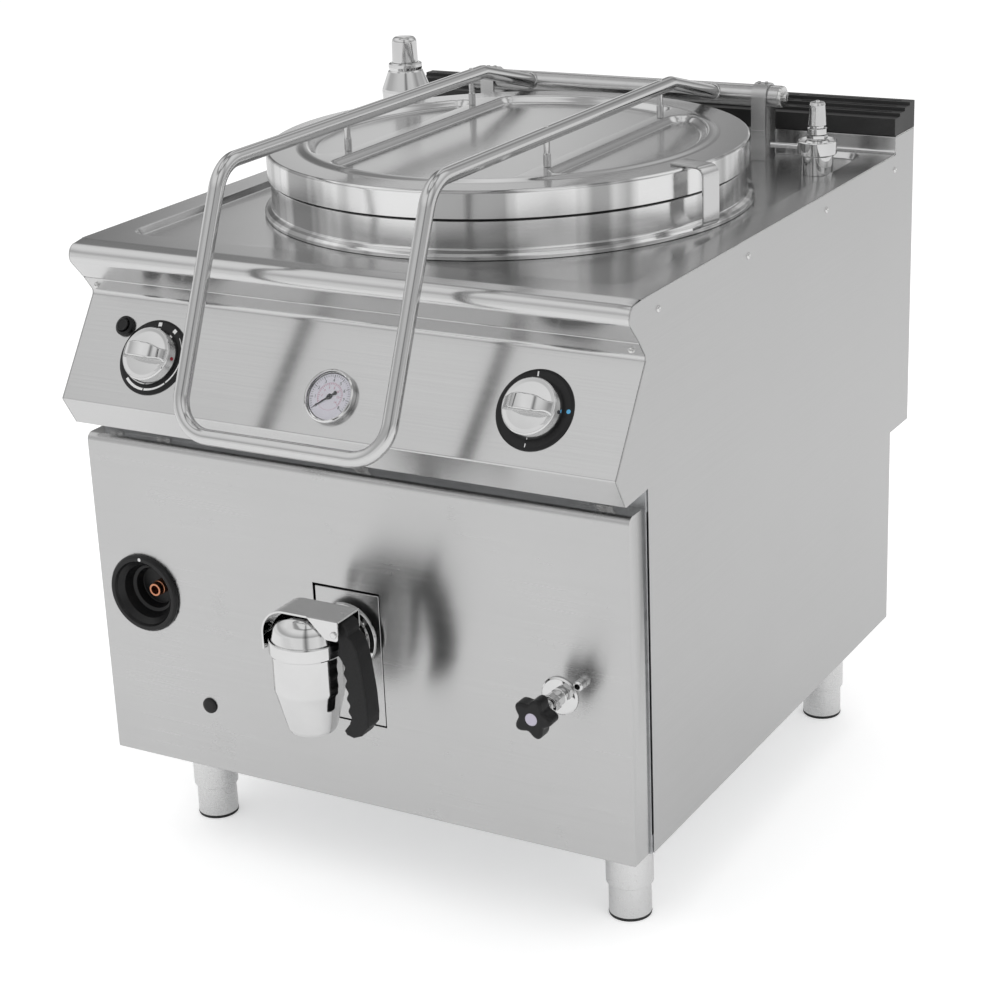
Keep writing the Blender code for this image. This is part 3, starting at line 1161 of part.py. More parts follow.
def make_level_cock():
    place = (LEVEL_OFFSET, -FRONT_OUT, LEVEL_HEIGHT)
    knob_near = LEVEL_KNOB_NEAR
    spindle_top = knob_near + LEVEL_KNOB_BORE_DEPTH - CLEAR
    profile = [(0, spindle_top), (LEVEL_SPINDLE_RADIUS, spindle_top), (LEVEL_SPINDLE_RADIUS, LEVEL_BOSS_LENGTH),
               (LEVEL_BOSS_RADIUS, LEVEL_BOSS_LENGTH), (LEVEL_BOSS_RADIUS, LEVEL_PLATE),
               (LEVEL_PLATE_RADIUS - LEVEL_PLATE_RIM, LEVEL_PLATE), (LEVEL_PLATE_RADIUS, LEVEL_PLATE_RIM),
               (LEVEL_PLATE_RADIUS, CLEAR), (LEVEL_TAIL_RADIUS, CLEAR), (LEVEL_TAIL_RADIUS, -LEVEL_TAIL_LENGTH),
               (0, -LEVEL_TAIL_LENGTH)]
    turned("level_cock_body", profile, CHROME, SMALL_STEPS, place=place, turn=FORWARD)
    count = LEVEL_KNOB_LOBES * TUBE_SIDES
    outline = []
    for step in range(count):
        angle = math.tau * step / count
        radius = LEVEL_KNOB_RADIUS + LEVEL_KNOB_LOBE * math.cos(LEVEL_KNOB_LOBES * angle)
        outline.append((radius * math.cos(angle), radius * math.sin(angle)))
    knob = part("level_cock_knob", plate_mesh(outline, knob_near, knob_near + LEVEL_KNOB_THICKNESS), BLACK,
                place=place, turn=FORWARD)
    hub = cylinder_mesh(LEVEL_HUB_RADIUS, knob_near - LEVEL_HUB_LENGTH, knob_near + DIAL_CHAMFER, SMALL_STEPS)
    join(knob, tool("knob_hub", hub, place=place, turn=(math.pi / 2, math.pi / 2 / SMALL_STEPS, 0)))
    bore = cylinder_mesh(LEVEL_SPINDLE_RADIUS + CLEAR, knob_near - OVERRUN, knob_near + LEVEL_KNOB_BORE_DEPTH)
    cut(knob, tool("level_knob_bore", bore, place=place, turn=FORWARD))
    tip = [(0, NOZZLE_LENGTH), (NOZZLE_RADIUS, NOZZLE_LENGTH), (NOZZLE_RADIUS, CLEAR), (NOZZLE_TAIL_RADIUS, CLEAR),
           (NOZZLE_TAIL_RADIUS, -PLUG_STEM_LENGTH), (0, -PLUG_STEM_LENGTH)]
    turned("level_nozzle", tip, CHROME, SMALL_STEPS, place=(NOZZLE_OFFSET, -FRONT_OUT, NOZZLE_HEIGHT),
           turn=FORWARD)


# Drain tap

def make_tap_body():
    place = (0, -TAP_OUT, 0)
    outer = [(0, TAP_TOP), (TAP_RADIUS, TAP_TOP), (TAP_RADIUS, TAP_SHOULDER), (TAP_MOUTH_RADIUS, TAP_MOUTH),
             (0, TAP_MOUTH)]
    body = turned("tap_body", outer, CHROME, place=place)
    union = [(0, TAP_OUT), (TAP_BRANCH_RADIUS, TAP_OUT), (TAP_BRANCH_RADIUS, TAP_FLANGE_OUT + TAP_UNION_LENGTH),
             (TAP_UNION_RADIUS, TAP_FLANGE_OUT + TAP_UNION_LENGTH), (TAP_UNION_RADIUS, TAP_FLANGE_OUT + TAP_FLANGE),
             (TAP_FLANGE_RADIUS, TAP_FLANGE_OUT), (TAP_FLANGE_RADIUS, TAP_FLANGE_OUT - TAP_FLANGE),
             (TAP_BRANCH_RADIUS, TAP_FLANGE_OUT - TAP_FLANGE), (TAP_BRANCH_RADIUS, TAP_TAIL_BACK),
             (0, TAP_TAIL_BACK)]
    join(body, turned("tap_branch", union, None, place=(0, 0, DRAIN_HEIGHT), turn=FORWARD, maker=tool))
    hollow = [(0, TAP_TOP + OVERRUN), (TAP_CHAMBER_RADIUS, TAP_TOP + OVERRUN), (TAP_CHAMBER_RADIUS, TAP_SEAT),
              (TAP_MOUTH_BORE, TAP_SEAT), (TAP_MOUTH_BORE, TAP_MOUTH - OVERRUN), (0, TAP_MOUTH - OVERRUN)]
    cut(body, turned("tap_chamber", hollow, None, place=place, maker=tool))
    cut(body, tool("tap_branch_bore", cylinder_mesh(TAP_BRANCH_BORE, TAP_TAIL_BACK - OVERRUN, TAP_OUT, MIDDLE_STEPS),
                   place=(0, 0, DRAIN_HEIGHT), turn=FORWARD))


def dome(radius, bottom, top, bore):
    end = math.acos(bore / radius)
    rise = (top - bottom) / math.sin(end)
    steps = [end * step / 4 for step in range(5)]
    return [(radius * math.cos(step), bottom + rise * math.sin(step)) for step in steps]


def make_tap_cap():
    bore = PLUNGER_STEM_RADIUS + CLEAR
    outside = dome(CAP_DOME_RADIUS, CAP_BAND_TOP, CAP_DOME_TOP, bore)
    inside = dome(TAP_CHAMBER_RADIUS, TAP_TOP + CLEAR, CAP_DOME_TOP - CAP_WALL, bore)
    inner = TAP_RADIUS + CLEAR
    profile = [*reversed(outside), (CAP_RADIUS, CAP_BAND_TOP - DIAL_CHAMFER), (CAP_RADIUS, CAP_BOTTOM),
               (inner, CAP_BOTTOM), (inner, TAP_TOP + CLEAR), *inside]
    turned("tap_cap", profile, CHROME, place=(0, -TAP_OUT, 0))


def make_plunger():
    low = TAP_SEAT + CLEAR
    profile = [(0, PLUNGER_TOP), (PLUNGER_STEM_RADIUS, PLUNGER_TOP), (PLUNGER_STEM_RADIUS, low + PLUNGER_DISC),
               (PLUNGER_RADIUS, low + PLUNGER_DISC), (PLUNGER_RADIUS, low), (0, low)]
    turned("tap_plunger", profile, CHROME, place=(0, -TAP_OUT, 0))


def make_yoke():
    left = -CAP_RADIUS - CLEAR - YOKE_SHEET
    strip = [(YOKE_RIGHT, YOKE_TOP), (left, YOKE_TOP), (left, YOKE_LEFT_BOTTOM)]
    corners = [(strip[0], 0), (strip[1], YOKE_LEFT_BEND), (strip[2], 0)]
    outer = rounded(corners)
    half = YOKE_HALF_WIDTH - YOKE_SHEET / 2
    mesh = folded_mesh(outer, -half, half)
    turn = (0, 0, -math.pi / 2)
    yoke = solidify(part("tap_yoke", mesh, CHROME, place=(0, -TAP_OUT, 0), turn=turn), YOKE_SHEET)
    bottom = YOKE_TOP - YOKE_CHEEK_DROP
    right = YOKE_RIGHT - YOKE_SHEET / 2
    cheek = [(YOKE_CHEEK_LEFT, YOKE_TOP - YOKE_SHEET / 2), (YOKE_CHEEK_FOOT, bottom), (right, bottom),
             (right, YOKE_TOP - YOKE_SHEET / 2)]
    for side in (-1, 1):
        edges = sorted((side * YOKE_HALF_WIDTH, side * (YOKE_HALF_WIDTH - YOKE_SHEET)))
        join(yoke, tool("yoke_cheek", plate_mesh(cheek, *edges), place=(0, -TAP_OUT, 0), turn=FORWARD))
    pin = cylinder_mesh(PIVOT_RADIUS, SHEET - YOKE_HALF_WIDTH, YOKE_HALF_WIDTH - SHEET)
    join(yoke, tool("yoke_pin", pin, place=(PIVOT_RIGHT, -TAP_OUT, PIVOT_HEIGHT), turn=FORWARD))


def handle_point(shares):
    return (HANDLE_LEFT + HANDLE_WIDTH * shares[0] - PIVOT_RIGHT,
            HANDLE_TOP - HANDLE_LENGTH * shares[1] - PIVOT_HEIGHT)


def make_handle():
    right = [handle_point(item) for item in HANDLE_RIGHT_shares]
    low = Vector(handle_point(HANDLE_LEFT_shares[0]))
    high = Vector(handle_point(HANDLE_LEFT_shares[1]))
    sideways = Vector((high.y - low.y, low.x - high.x)).normalized()
    grip = []
    count = HANDLE_SCALLOPS * TUBE_SIDES // 2
    for step in range(count + 1):
        share = step / count
        wave = HANDLE_SCALLOP_DEPTH * (1 - math.cos(math.tau * share * HANDLE_SCALLOPS)) / 2
        grip.append(low.lerp(high, share) + sideways * wave)
    hook = [handle_point(item) for item in HANDLE_HOOK_shares]
    head = arc((0, 0), HANDLE_HEAD_RADIUS, math.radians(190), math.radians(-20), 7)
    outline = right + grip + hook + head
    pivot = empty("handle_pivot", ROOT, (PIVOT_RIGHT, -TAP_OUT, PIVOT_HEIGHT))
    handle = part("tap_handle", plate_mesh(outline, -HANDLE_HALF_WIDTH, HANDLE_HALF_WIDTH), BLACK,
                  parent=pivot, turn=FORWARD)
    hole = cylinder_mesh(PIVOT_RADIUS + CLEAR, -YOKE_HALF_WIDTH, YOKE_HALF_WIDTH)
    cut(handle, tool("pivot_hole", hole, parent=pivot, turn=FORWARD))


# Fittings on the worktop

def jacket_pipe(name, across, depth, bottom):
    centre = Vector((0, KETTLE_DEPTH, 0))
    start = Vector((across, depth, 0))
    inwards = (centre - start).normalized()
    end = centre - inwards * (JACKET_RADIUS + CLEAR)
    route = rounded([((across, depth, bottom), 0), ((across, depth, JACKET_PIPE_HEIGHT), JACKET_PIPE_BEND),
                     ((end.x, end.y, JACKET_PIPE_HEIGHT), 0)], arc_step=ARC_STEP)
    return tool(name, tube_mesh(route, JACKET_PIPE_RADIUS))


def make_safety_valve():
    floor = FLOOR_OF_RECESS + CLEAR
    place = (-SAFETY_OFFSET, SAFETY_DEPTH, 0)
    body = [(0, SAFETY_PIN_TOP), (SAFETY_PIN_RADIUS, SAFETY_PIN_TOP), (SAFETY_PIN_RADIUS, SAFETY_RING_TOP),
            (SAFETY_RING_RADIUS, SAFETY_RING_TOP), (SAFETY_RING_RADIUS, SAFETY_SKIRT_TOP),
            (SAFETY_NECK_RADIUS, SAFETY_SKIRT_TOP), (SAFETY_SKIRT_RADIUS, SAFETY_SKIRT_BAND),
            (SAFETY_SKIRT_RADIUS, SAFETY_SKIRT_BOTTOM), (SAFETY_STEM_RADIUS, SAFETY_SKIRT_BOTTOM),
            (SAFETY_STEM_RADIUS, floor + SAFETY_BASE_HEIGHT), (SAFETY_BASE_RADIUS, floor + SAFETY_BASE_HEIGHT),
            (SAFETY_BASE_RADIUS, floor), (0, floor)]
    valve = turned("safety_valve_body", body, CHROME, place=place)
    join(valve, jacket_pipe("safety_pipe", -SAFETY_OFFSET, SAFETY_DEPTH, floor + SAFETY_BASE_HEIGHT / 2))
    low = SAFETY_RING_TOP + CLEAR
    bore = SAFETY_PIN_RADIUS + CLEAR
    roof = SAFETY_PIN_TOP + CLEAR
    rounding = SAFETY_TOP - SAFETY_CAP_EDGE
    top = arc((SAFETY_CAP_RADIUS - rounding, SAFETY_CAP_EDGE), rounding, math.pi / 2, 0, 4)
    cap = [(0, SAFETY_TOP), *top, (SAFETY_CAP_RADIUS, low), (bore, low), (bore, roof), (0, roof)]
    turned("safety_valve_cap", cap, CHROME, place=place)


def make_filling_cock():
    floor = FLOOR_OF_RECESS + CLEAR
    place = (COCK_OFFSET, COCK_DEPTH, 0)
    nut_low = COCK_RING_TOP + CLEAR
    edge = COCK_TIP - COCK_CAP_TOP
    body = [(0, COCK_TIP), (COCK_CAP_TOP_RADIUS - edge, COCK_TIP), (COCK_CAP_TOP_RADIUS, COCK_CAP_TOP),
            (COCK_NUT_RADIUS - DIAL_CHAMFER, COCK_NUT_TOP), (COCK_NUT_RADIUS, COCK_NUT_TOP), (COCK_NUT_RADIUS, nut_low),
            (COCK_SPINDLE_RADIUS, nut_low), (COCK_SPINDLE_RADIUS, COCK_BASE_TOP), (COCK_BASE_RADIUS, COCK_BASE_TOP),
            (COCK_BASE_RADIUS, floor), (0, floor)]
    cock = turned("fill_cock_body", body, CHROME, SMALL_STEPS, place=place)
    join(cock, jacket_pipe("cock_pipe", COCK_OFFSET, COCK_DEPTH, floor + SAFETY_BASE_HEIGHT / 2))
    low = COCK_BASE_TOP + CLEAR
    bore = clear_of(COCK_SPINDLE_RADIUS)
    ring = [(bore, COCK_RING_TOP - CLEAR), (COCK_NUT_RADIUS + CLEAR, COCK_RING_TOP - CLEAR),
            (COCK_NUT_RADIUS + COCK_RING_DISH, COCK_RING_TOP - COCK_RING_DISH),
            (COCK_RING_RADIUS - DIAL_CHAMFER, COCK_RING_TOP), (COCK_RING_RADIUS, COCK_RING_TOP - DIAL_CHAMFER),
            (COCK_RING_RADIUS, low), (bore, low)]
    collar = turned("fill_cock_ring", ring, CHROME, SMALL_STEPS, place=place)
    start = (COCK_RING_RADIUS + COCK_SPINDLE_RADIUS) / 2
    route = [Vector((-start, 0, COCK_PIPE_HEIGHT)), Vector((-COCK_PIPE_REACH, 0, COCK_PIPE_HEIGHT))]
    join(collar, tool("cock_bar", tube_mesh(route, COCK_PIPE_RADIUS), place=place))


# Lid: everything under this empty swings about the hinge shaft

def field_mesh(radius, floor_radius, low, high, left, right, slope):
    steps = 12
    outline_top = segment_outline(radius, left, right, steps)
    outline_low = segment_outline(floor_radius, left + slope if left > -radius else left,
                                  right - slope if right < radius else right, steps)
    shape = bmesh.new()
    top = [shape.verts.new((across, depth, high)) for across, depth in outline_top]
    bottom = [shape.verts.new((across, depth, low)) for across, depth in outline_low]
    rings = []
    for loop in (top, bottom):
        rings.append([shape.edges.new((loop[step], loop[(step + 1) % len(loop)])) for step in range(len(loop))])
    bmesh.ops.bridge_loops(shape, edges=rings[0] + rings[1])
    shape.faces.new(top)
    shape.faces.new(bottom)
    return finished(shape)


# Part of a circle between two straight lines along the depth, with the same number of points each time
def segment_outline(radius, left, right, steps):
    left = max(left, -radius)
    right = min(right, radius)
    front = []
    rear = []
    for step in range(steps + 1):
        angle = math.acos(left / radius) * (1 - step / steps) + math.acos(right / radius) * step / steps
        front.append((radius * math.cos(angle), -radius * math.sin(angle)))
        rear.append((radius * math.cos(angle), radius * math.sin(angle)))
    rear.reverse()
    if left == -radius:
        rear.pop()
    if right == radius:
        rear.pop(0)
    return front + rear


def make_lid(pivot):
    place = (0, KETTLE_DEPTH - HINGE_DEPTH, -HINGE_HEIGHT)
    edge = arc((LID_RADIUS - LID_EDGE_RADIUS, LID_TOP - LID_EDGE_RADIUS), LID_EDGE_RADIUS, math.pi / 2, 0, 3)
    inner = LID_RADIUS - LID_SHEET
    ceiling = LID_TOP - LID_FIELD_DROP - LID_SHEET
    ridge = LID_TOP + LID_RIDGE_RISE
    profile = [(0, ridge), (LID_FIELD_RADIUS - LID_RIDGE_SLOPE, ridge), (LID_FIELD_RADIUS, LID_TOP), *edge,
               (LID_RADIUS, LID_BOTTOM), (inner, LID_BOTTOM), (inner, ceiling), (0, ceiling)]
    lid = turned("lid", profile, BRIGHT, BIG_STEPS, parent=pivot, place=place)
    low = LID_TOP - LID_FIELD_DROP
    high = ridge + LID_RIDGE_RISE
    rise = high - low
    grow = rise * LID_RIDGE_SLOPE / (ridge - low)
    outer = LID_FIELD_RADIUS
    centre = LID_RIDGE_OFFSET - LID_RIDGE_HALF + grow - LID_RIDGE_SLOPE
    side = LID_RIDGE_OFFSET + LID_RIDGE_HALF - grow + LID_RIDGE_SLOPE
    for name, left, right in (("field_left", -outer, -side), ("field_centre", -centre, centre),
                              ("field_right", side, outer)):
        field = field_mesh(outer, LID_FIELD_FLOOR_RADIUS, low, high, left, right, grow)
        cut(lid, tool(name, field, pivot, place))
    liner = [(0, LINER_THICKNESS), (LINER_RADIUS, LINER_THICKNESS), (LINER_RADIUS, 0), (0, 0)]
    bottom = LID_BOTTOM + CLEAR
    turned("lid_liner", liner, BRIGHT, BIG_STEPS, parent=pivot, place=(0, place[1], bottom - HINGE_HEIGHT))
    low = COLLAR_TOP + CLEAR
    high = bottom - CLEAR
    gasket = [(GASKET_BORE, high), (GASKET_RADIUS, high), (GASKET_RADIUS, low), (GASKET_BORE, low)]
    turned("lid_gasket", gasket, GASKET, BIG_STEPS, parent=pivot, place=place)


def make_lid_frame(pivot):
    apex = (FRAME_APEX_DEPTH - HINGE_DEPTH, FRAME_HEIGHT - HINGE_HEIGHT)
    corner = (-FRAME_CORNER_OUT - HINGE_DEPTH, FRAME_HEIGHT - HINGE_HEIGHT)
    bar = (-FRAME_BAR_OUT - HINGE_DEPTH, FRAME_BAR_HEIGHT - HINGE_HEIGHT)
    side = [((FRAME_OFFSET, 0, 0), 0), ((FRAME_OFFSET, *apex), FRAME_BEND), ((FRAME_OFFSET, *corner), FRAME_BEND),
            ((FRAME_OFFSET, *bar), FRAME_BAR_BEND)]
    other = [((-point[0], point[1], point[2]), radius) for point, radius in reversed(side)]
    frame = part("lid_frame", tube_mesh(rounded(side + other), FRAME_RADIUS, SMALL_STEPS), SATIN, parent=pivot)
    shaft = cylinder_mesh(SHAFT_RADIUS + CLEAR, -SHAFT_HALF_LENGTH, SHAFT_HALF_LENGTH, MIDDLE_STEPS)
    cut(frame, tool("shaft_space", shaft, pivot, turn=(0, math.pi / 2, 0)))
    foot = LID_TOP + LID_RIDGE_RISE + CLEAR - HINGE_HEIGHT
    top = FRAME_HEIGHT - HINGE_HEIGHT
    for across in (-FRAME_OFFSET, FRAME_OFFSET):
        for spread in (-LID_POST_SPREAD, LID_POST_SPREAD):
            place = (across, KETTLE_DEPTH + spread - HINGE_DEPTH, 0)
            aside = (0, 0, math.pi / TUBE_SIDES)
            post = [(0, top), (LID_POST_TOP_RADIUS, top), (LID_POST_TOP_RADIUS, foot + LID_POST_STEP),
                    (LID_POST_RADIUS, foot + LID_POST_STEP), (LID_POST_RADIUS, foot), (0, foot)]
            join(frame, turned("lid_post", post, None, TUBE_SIDES, pivot, place, aside, maker=tool))


def make_shaft(pivot):
    half = SHAFT_HALF_LENGTH
    across = (0, math.pi / 2, 0)
    shaft = [(SHAFT_BORE, half), (SHAFT_RADIUS, half), (SHAFT_RADIUS, -half), (SHAFT_BORE, -half)]
    turned("hinge_shaft", shaft, SATIN, parent=pivot, turn=across)
    head = half + CLEAR
    plug = [(0, head + END_PLUG_HEAD + END_BOLT_HEIGHT), (END_BOLT_RADIUS, head + END_PLUG_HEAD + END_BOLT_HEIGHT),
            (END_BOLT_RADIUS, head + END_PLUG_HEAD), (SHAFT_RADIUS - DIAL_CHAMFER, head + END_PLUG_HEAD),
            (SHAFT_RADIUS, head + END_PLUG_HEAD - DIAL_CHAMFER), (SHAFT_RADIUS, head), (SHAFT_BORE - CLEAR, head),
            (SHAFT_BORE - CLEAR, head - END_PLUG_LENGTH), (0, head - END_PLUG_LENGTH)]
    turned("shaft_end_right", plug, CHROME, SMALL_STEPS, parent=pivot, turn=across)
    turned("shaft_end_left", plug, CHROME, SMALL_STEPS, parent=pivot, turn=(0, -math.pi / 2, 0))


def make_strap(pivot):
    top = LID_TOP + CLEAR + STRAP_SHEET
    knee = STRAP_BEND + STRAP_SHEET
    foot = top - STRAP_DROP
    corners = [((STRAP_START, top), 0), ((STRAP_RADIUS, top), knee), ((STRAP_RADIUS, foot), STRAP_BEND),
               ((STRAP_RADIUS - STRAP_BEND - STRAP_CURL, foot - STRAP_CURL), 0)]
    path = [(-radius, height) for radius, height in rounded(corners)]
    half = STRAP_WIDTH / 2
    place = (0, KETTLE_DEPTH - HINGE_DEPTH, -HINGE_HEIGHT)
    turn = (0, 0, STRAP_ANGLE + math.pi / 2)
    solidify(part("lid_strap", folded_mesh(path, -half, half), BRIGHT, pivot, place, turn), STRAP_SHEET)


def make_brackets():
    inner = SHAFT_RADIUS + BRACKET_GAP
    outer = inner + BRACKET_SHEET
    foot = FLOOR_OF_RECESS + CLEAR - HINGE_HEIGHT
    over = arc((0, 0), outer, 0, math.pi, 12)
    under = arc((0, 0), inner, math.pi, 0, 12)
    outline = [(outer, foot), *over, (-outer, foot), (-inner, foot), *under, (inner, foot)]
    for name, left in (("hinge_bracket_left", -BRACKET_INNER - BRACKET_WIDTH), ("hinge_bracket_right", BRACKET_INNER)):
        part(name, plate_mesh(outline, left, left + BRACKET_WIDTH), SATIN,
             place=(0, HINGE_DEPTH, HINGE_HEIGHT), turn=ACROSS)


def build():
    make_side_panels()
    make_worktop()
    make_rear_panel()
    left = on_panel("dial_left_seat", -DIAL_OFFSET, DIAL_DOWN)
    right = on_panel("dial_right_seat", DIAL_OFFSET, DIAL_DOWN)
    igniter = on_panel("igniter_seat", -IGNITER_OFFSET, IGNITER_DOWN)
    gauge = on_panel("gauge_seat", 0, GAUGE_DOWN)
    make_control_panel((left, right, igniter, gauge))
    make_dial("left", left)
    make_dial("right", right)
    make_valve("gas_valve", left)
    make_valve("water_valve", right)
    make_igniter(igniter)
    make_gauge(gauge)
    make_front_panel()
    make_backplate()
    make_pilot_port()
    make_hole_plug()
    make_level_cock()
    make_tap_body()
    make_tap_cap()
    make_plunger()
    make_yoke()
    make_handle()
    make_chassis()
    make_legs()
    make_collar()
    make_vessel()
    make_jacket()
    make_drain_pipe()
    make_burner()
    make_flue()
    make_grille()
    make_safety_valve()
    make_filling_cock()
    make_brackets()
    pivot = empty("lid_pivot", ROOT, (0, HINGE_DEPTH, HINGE_HEIGHT))
    make_lid(pivot)
    make_lid_frame(pivot)
    make_shaft(pivot)
    make_strap(pivot)
    for made in PARTS.objects:
        if made.type == "MESH":
            shade_round(made.data)


build()
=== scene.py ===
import math
import bmesh
import bpy
from mathutils import Matrix, Vector


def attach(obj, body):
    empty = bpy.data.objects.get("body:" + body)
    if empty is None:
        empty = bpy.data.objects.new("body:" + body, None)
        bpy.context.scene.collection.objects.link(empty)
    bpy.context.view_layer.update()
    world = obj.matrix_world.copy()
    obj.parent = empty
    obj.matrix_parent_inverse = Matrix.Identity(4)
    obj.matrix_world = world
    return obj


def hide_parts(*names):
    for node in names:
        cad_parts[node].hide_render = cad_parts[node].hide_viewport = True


# Gas boiling kettle with a steam jacket. Metres, +Z up, front towards -Y.
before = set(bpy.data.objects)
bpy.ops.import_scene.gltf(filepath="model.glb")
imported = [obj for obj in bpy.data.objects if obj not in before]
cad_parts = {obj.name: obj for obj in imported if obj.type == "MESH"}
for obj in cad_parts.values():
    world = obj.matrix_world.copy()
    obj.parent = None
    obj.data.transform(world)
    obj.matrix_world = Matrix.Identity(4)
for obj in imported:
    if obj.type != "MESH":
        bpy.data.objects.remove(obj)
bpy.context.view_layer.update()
print("frame loaded:", len(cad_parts), "solids")

millimetre = 0.001
close = 0.00001
cabinet = {"middle": 0.345, "halfWidth": 0.400, "topHeight": 0.850, "kettleDepth": 0.405, "panelTilt": 34.3}
kettleSteps = 160


def at(across, depth, height):
    return Vector((across, depth - cabinet["middle"], height))


def move(across, depth, height):
    return Matrix.Translation(at(across, depth, height))


def shift(*way):
    return Matrix.Translation(way)


def turned(degrees, axis):
    return Matrix.Rotation(math.radians(degrees), 4, axis)


forward = turned(90, "X")      # turned pieces then point out of the front
kettleAxis = at(0, cabinet["kettleDepth"], 0)
kettleSeat = Matrix.Translation(kettleAxis)


# ---- shape tools ----

# Wire through the corners; a corner with a radius is rounded
def softWire(bm, points, radii, closed=False, segments=6):
    points = [Vector(point) for point in points]
    verts = [bm.verts.new(point) for point in points]
    pairs = list(zip(verts, verts[1:]))
    if closed:
        pairs.append((verts[-1], verts[0]))
    for pair in pairs:
        bm.edges.new(pair)
    count = len(points)
    for index, radius in enumerate(radii):
        if radius:
            before = (points[index] - points[index - 1]).normalized()
            after = (points[(index + 1) % count] - points[index]).normalized()
            reach = radius * math.tan(before.angle(after) / 2)
            bmesh.ops.bevel(bm, geom=[verts[index]], offset=reach, offset_type="OFFSET", segments=segments,
                            profile=0.5, affect="VERTICES", clamp_overlap=False, material=-1)


def soften(bm, edges, offset, segments=3):
    bmesh.ops.bevel(bm, geom=edges, offset=offset, segments=segments, profile=0.5, affect="EDGES", material=-1)


def vertsOf(items):
    return [item for item in items if isinstance(item, bmesh.types.BMVert)]


def edgesOf(parts):
    return list({edge for part in parts for edge in getattr(part, "link_edges", None) or part.edges})


def circleEdges(bm, segments, radius, matrix):
    return edgesOf(bmesh.ops.create_circle(bm, segments=segments, radius=radius, matrix=matrix)["verts"])


# The far row of a strip of faces, with its points
def newEdges(made):
    moved = set(vertsOf(made))
    edges = [item for item in made if isinstance(item, bmesh.types.BMEdge) and moved.issuperset(item.verts)]
    return edges, list(moved)


def pull(bm, edges, way):
    edges, moved = newEdges(bmesh.ops.extrude_edge_only(bm, edges=edges)["geom"])
    bmesh.ops.translate(bm, verts=moved, vec=way)
    return edges, moved


def thicken(bm, way):
    raised = bmesh.ops.extrude_face_region(bm, geom=bm.faces[:])["geom"]
    bmesh.ops.translate(bm, verts=vertsOf(raised), vec=way)
    bmesh.ops.recalc_face_normals(bm, faces=bm.faces)


# Carries a row of edges along a path with round bends, as a folded sheet or a bent tube is made
def runAlong(bm, edges, points, bends, stepAngle=0.14):
    points = [Vector(point) for point in points]
    here = points[0]
    for index in range(1, len(points)):
        heading = (points[index] - points[index - 1]).normalized()
        reach = points[index]
        bend = bends[index] if index < len(points) - 1 else 0
        if bend:
            following = (points[index + 1] - points[index]).normalized()
            turn = heading.angle(following)
            cutBack = bend * math.tan(turn / 2)
            reach = points[index] - heading * cutBack
        if (reach - here).length > close / 10:
            edges = pull(bm, edges, reach - here)[0]
        here = reach
        if bend:
            axis = heading.cross(following).normalized()
            centre = here + axis.cross(heading) * bend
            ends = list({vert for edge in edges for vert in edge.verts})
            made = bmesh.ops.spin(bm, geom=ends + edges, cent=centre, axis=axis, angle=turn,
                                  steps=max(3, round(turn / stepAngle)), use_merge=False)
            edges = newEdges(made["geom_last"])[0]
            here = points[index] + following * cutBack
    return edges


# Puts a turned shape at the point, with its axis along the given way
def facing(point, way):
    return Matrix.Translation(point) @ Vector((0, 0, 1)).rotation_difference(way).to_matrix().to_4x4()


def capEnds(bm, *loops):
    for loop in loops:
        bmesh.ops.contextual_create(bm, geom=loop)


def spinAll(bm, steps):
    bmesh.ops.spin(bm, geom=bm.verts[:] + bm.edges[:], cent=(0, 0, 0), axis=(0, 0, 1), angle=math.tau,
                   steps=steps, use_merge=True)
    bmesh.ops.remove_doubles(bm, verts=bm.verts, dist=2e-6)
    bmesh.ops.dissolve_degenerate(bm, edges=bm.edges, dist=1e-7)
    loose = [edge for edge in bm.edges if not edge.link_faces]
    bmesh.ops.delete(bm, geom=loose, context="EDGES")


# Corners are (radius, height, rounding) in millimetres, from the top down the outer side
def lathe(corners, steps, closed=False, segments=6):
    bm = bmesh.new()
    sized = [[value * millimetre for value in (*corner, 0)[:3]] for corner in corners]
    softWire(bm, [(reach, 0, height) for reach, height, bend in sized],
             [bend for reach, height, bend in sized], closed, segments)
    spinAll(bm, steps)
    bmesh.ops.recalc_face_normals(bm, faces=bm.faces)
    return bm


# Turns an open sheet so that its outer side looks along the given direction
def aim(bm, direction):
    bmesh.ops.recalc_face_normals(bm, faces=bm.faces)
    bm.normal_update()
    if sum(face.normal.dot(Vector(direction)) * face.calc_area() for face in bm.faces) < 0:
        bmesh.ops.reverse_faces(bm, faces=bm.faces)


def block(bm, low, high, rounding=0, segments=2):
    low, high = Vector(low), Vector(high)
    shape = Matrix.Translation((low + high) / 2) @ Matrix.Diagonal((*(high - low), 1))
    made = bmesh.ops.create_cube(bm, size=1, matrix=shape)["verts"]
    if rounding:
        soften(bm, edgesOf(made), rounding, segments)


def flatRims(bm):
    return edgesOf([face for face in bm.faces if abs(face.normal.z) > 0.9])


# A flat outline given its thickness along its own Z, with soft edges
def slab(outline, radii, low, high, rounding, segments, arcSegments):
    bm = bmesh.new()
    softWire(bm, [(*point, low) for point in outline], radii, True, arcSegments)
    bmesh.ops.contextual_create(bm, geom=bm.edges[:])
    thicken(bm, (0, 0, high - low))
    soften(bm, flatRims(bm), rounding, segments)
    return bm


def link(name, data):
    made = bpy.data.objects.new(name, data)
    bpy.context.scene.collection.objects.link(made)
    return made


# Adds the other shape to this one
def absorb(bm, other, matrix=None):
    if matrix:
        other.transform(matrix)
    mesh = bpy.data.meshes.new("passing")
    other.to_mesh(mesh)
    other.free()
    bm.from_mesh(mesh)
    bpy.data.meshes.remove(mesh)


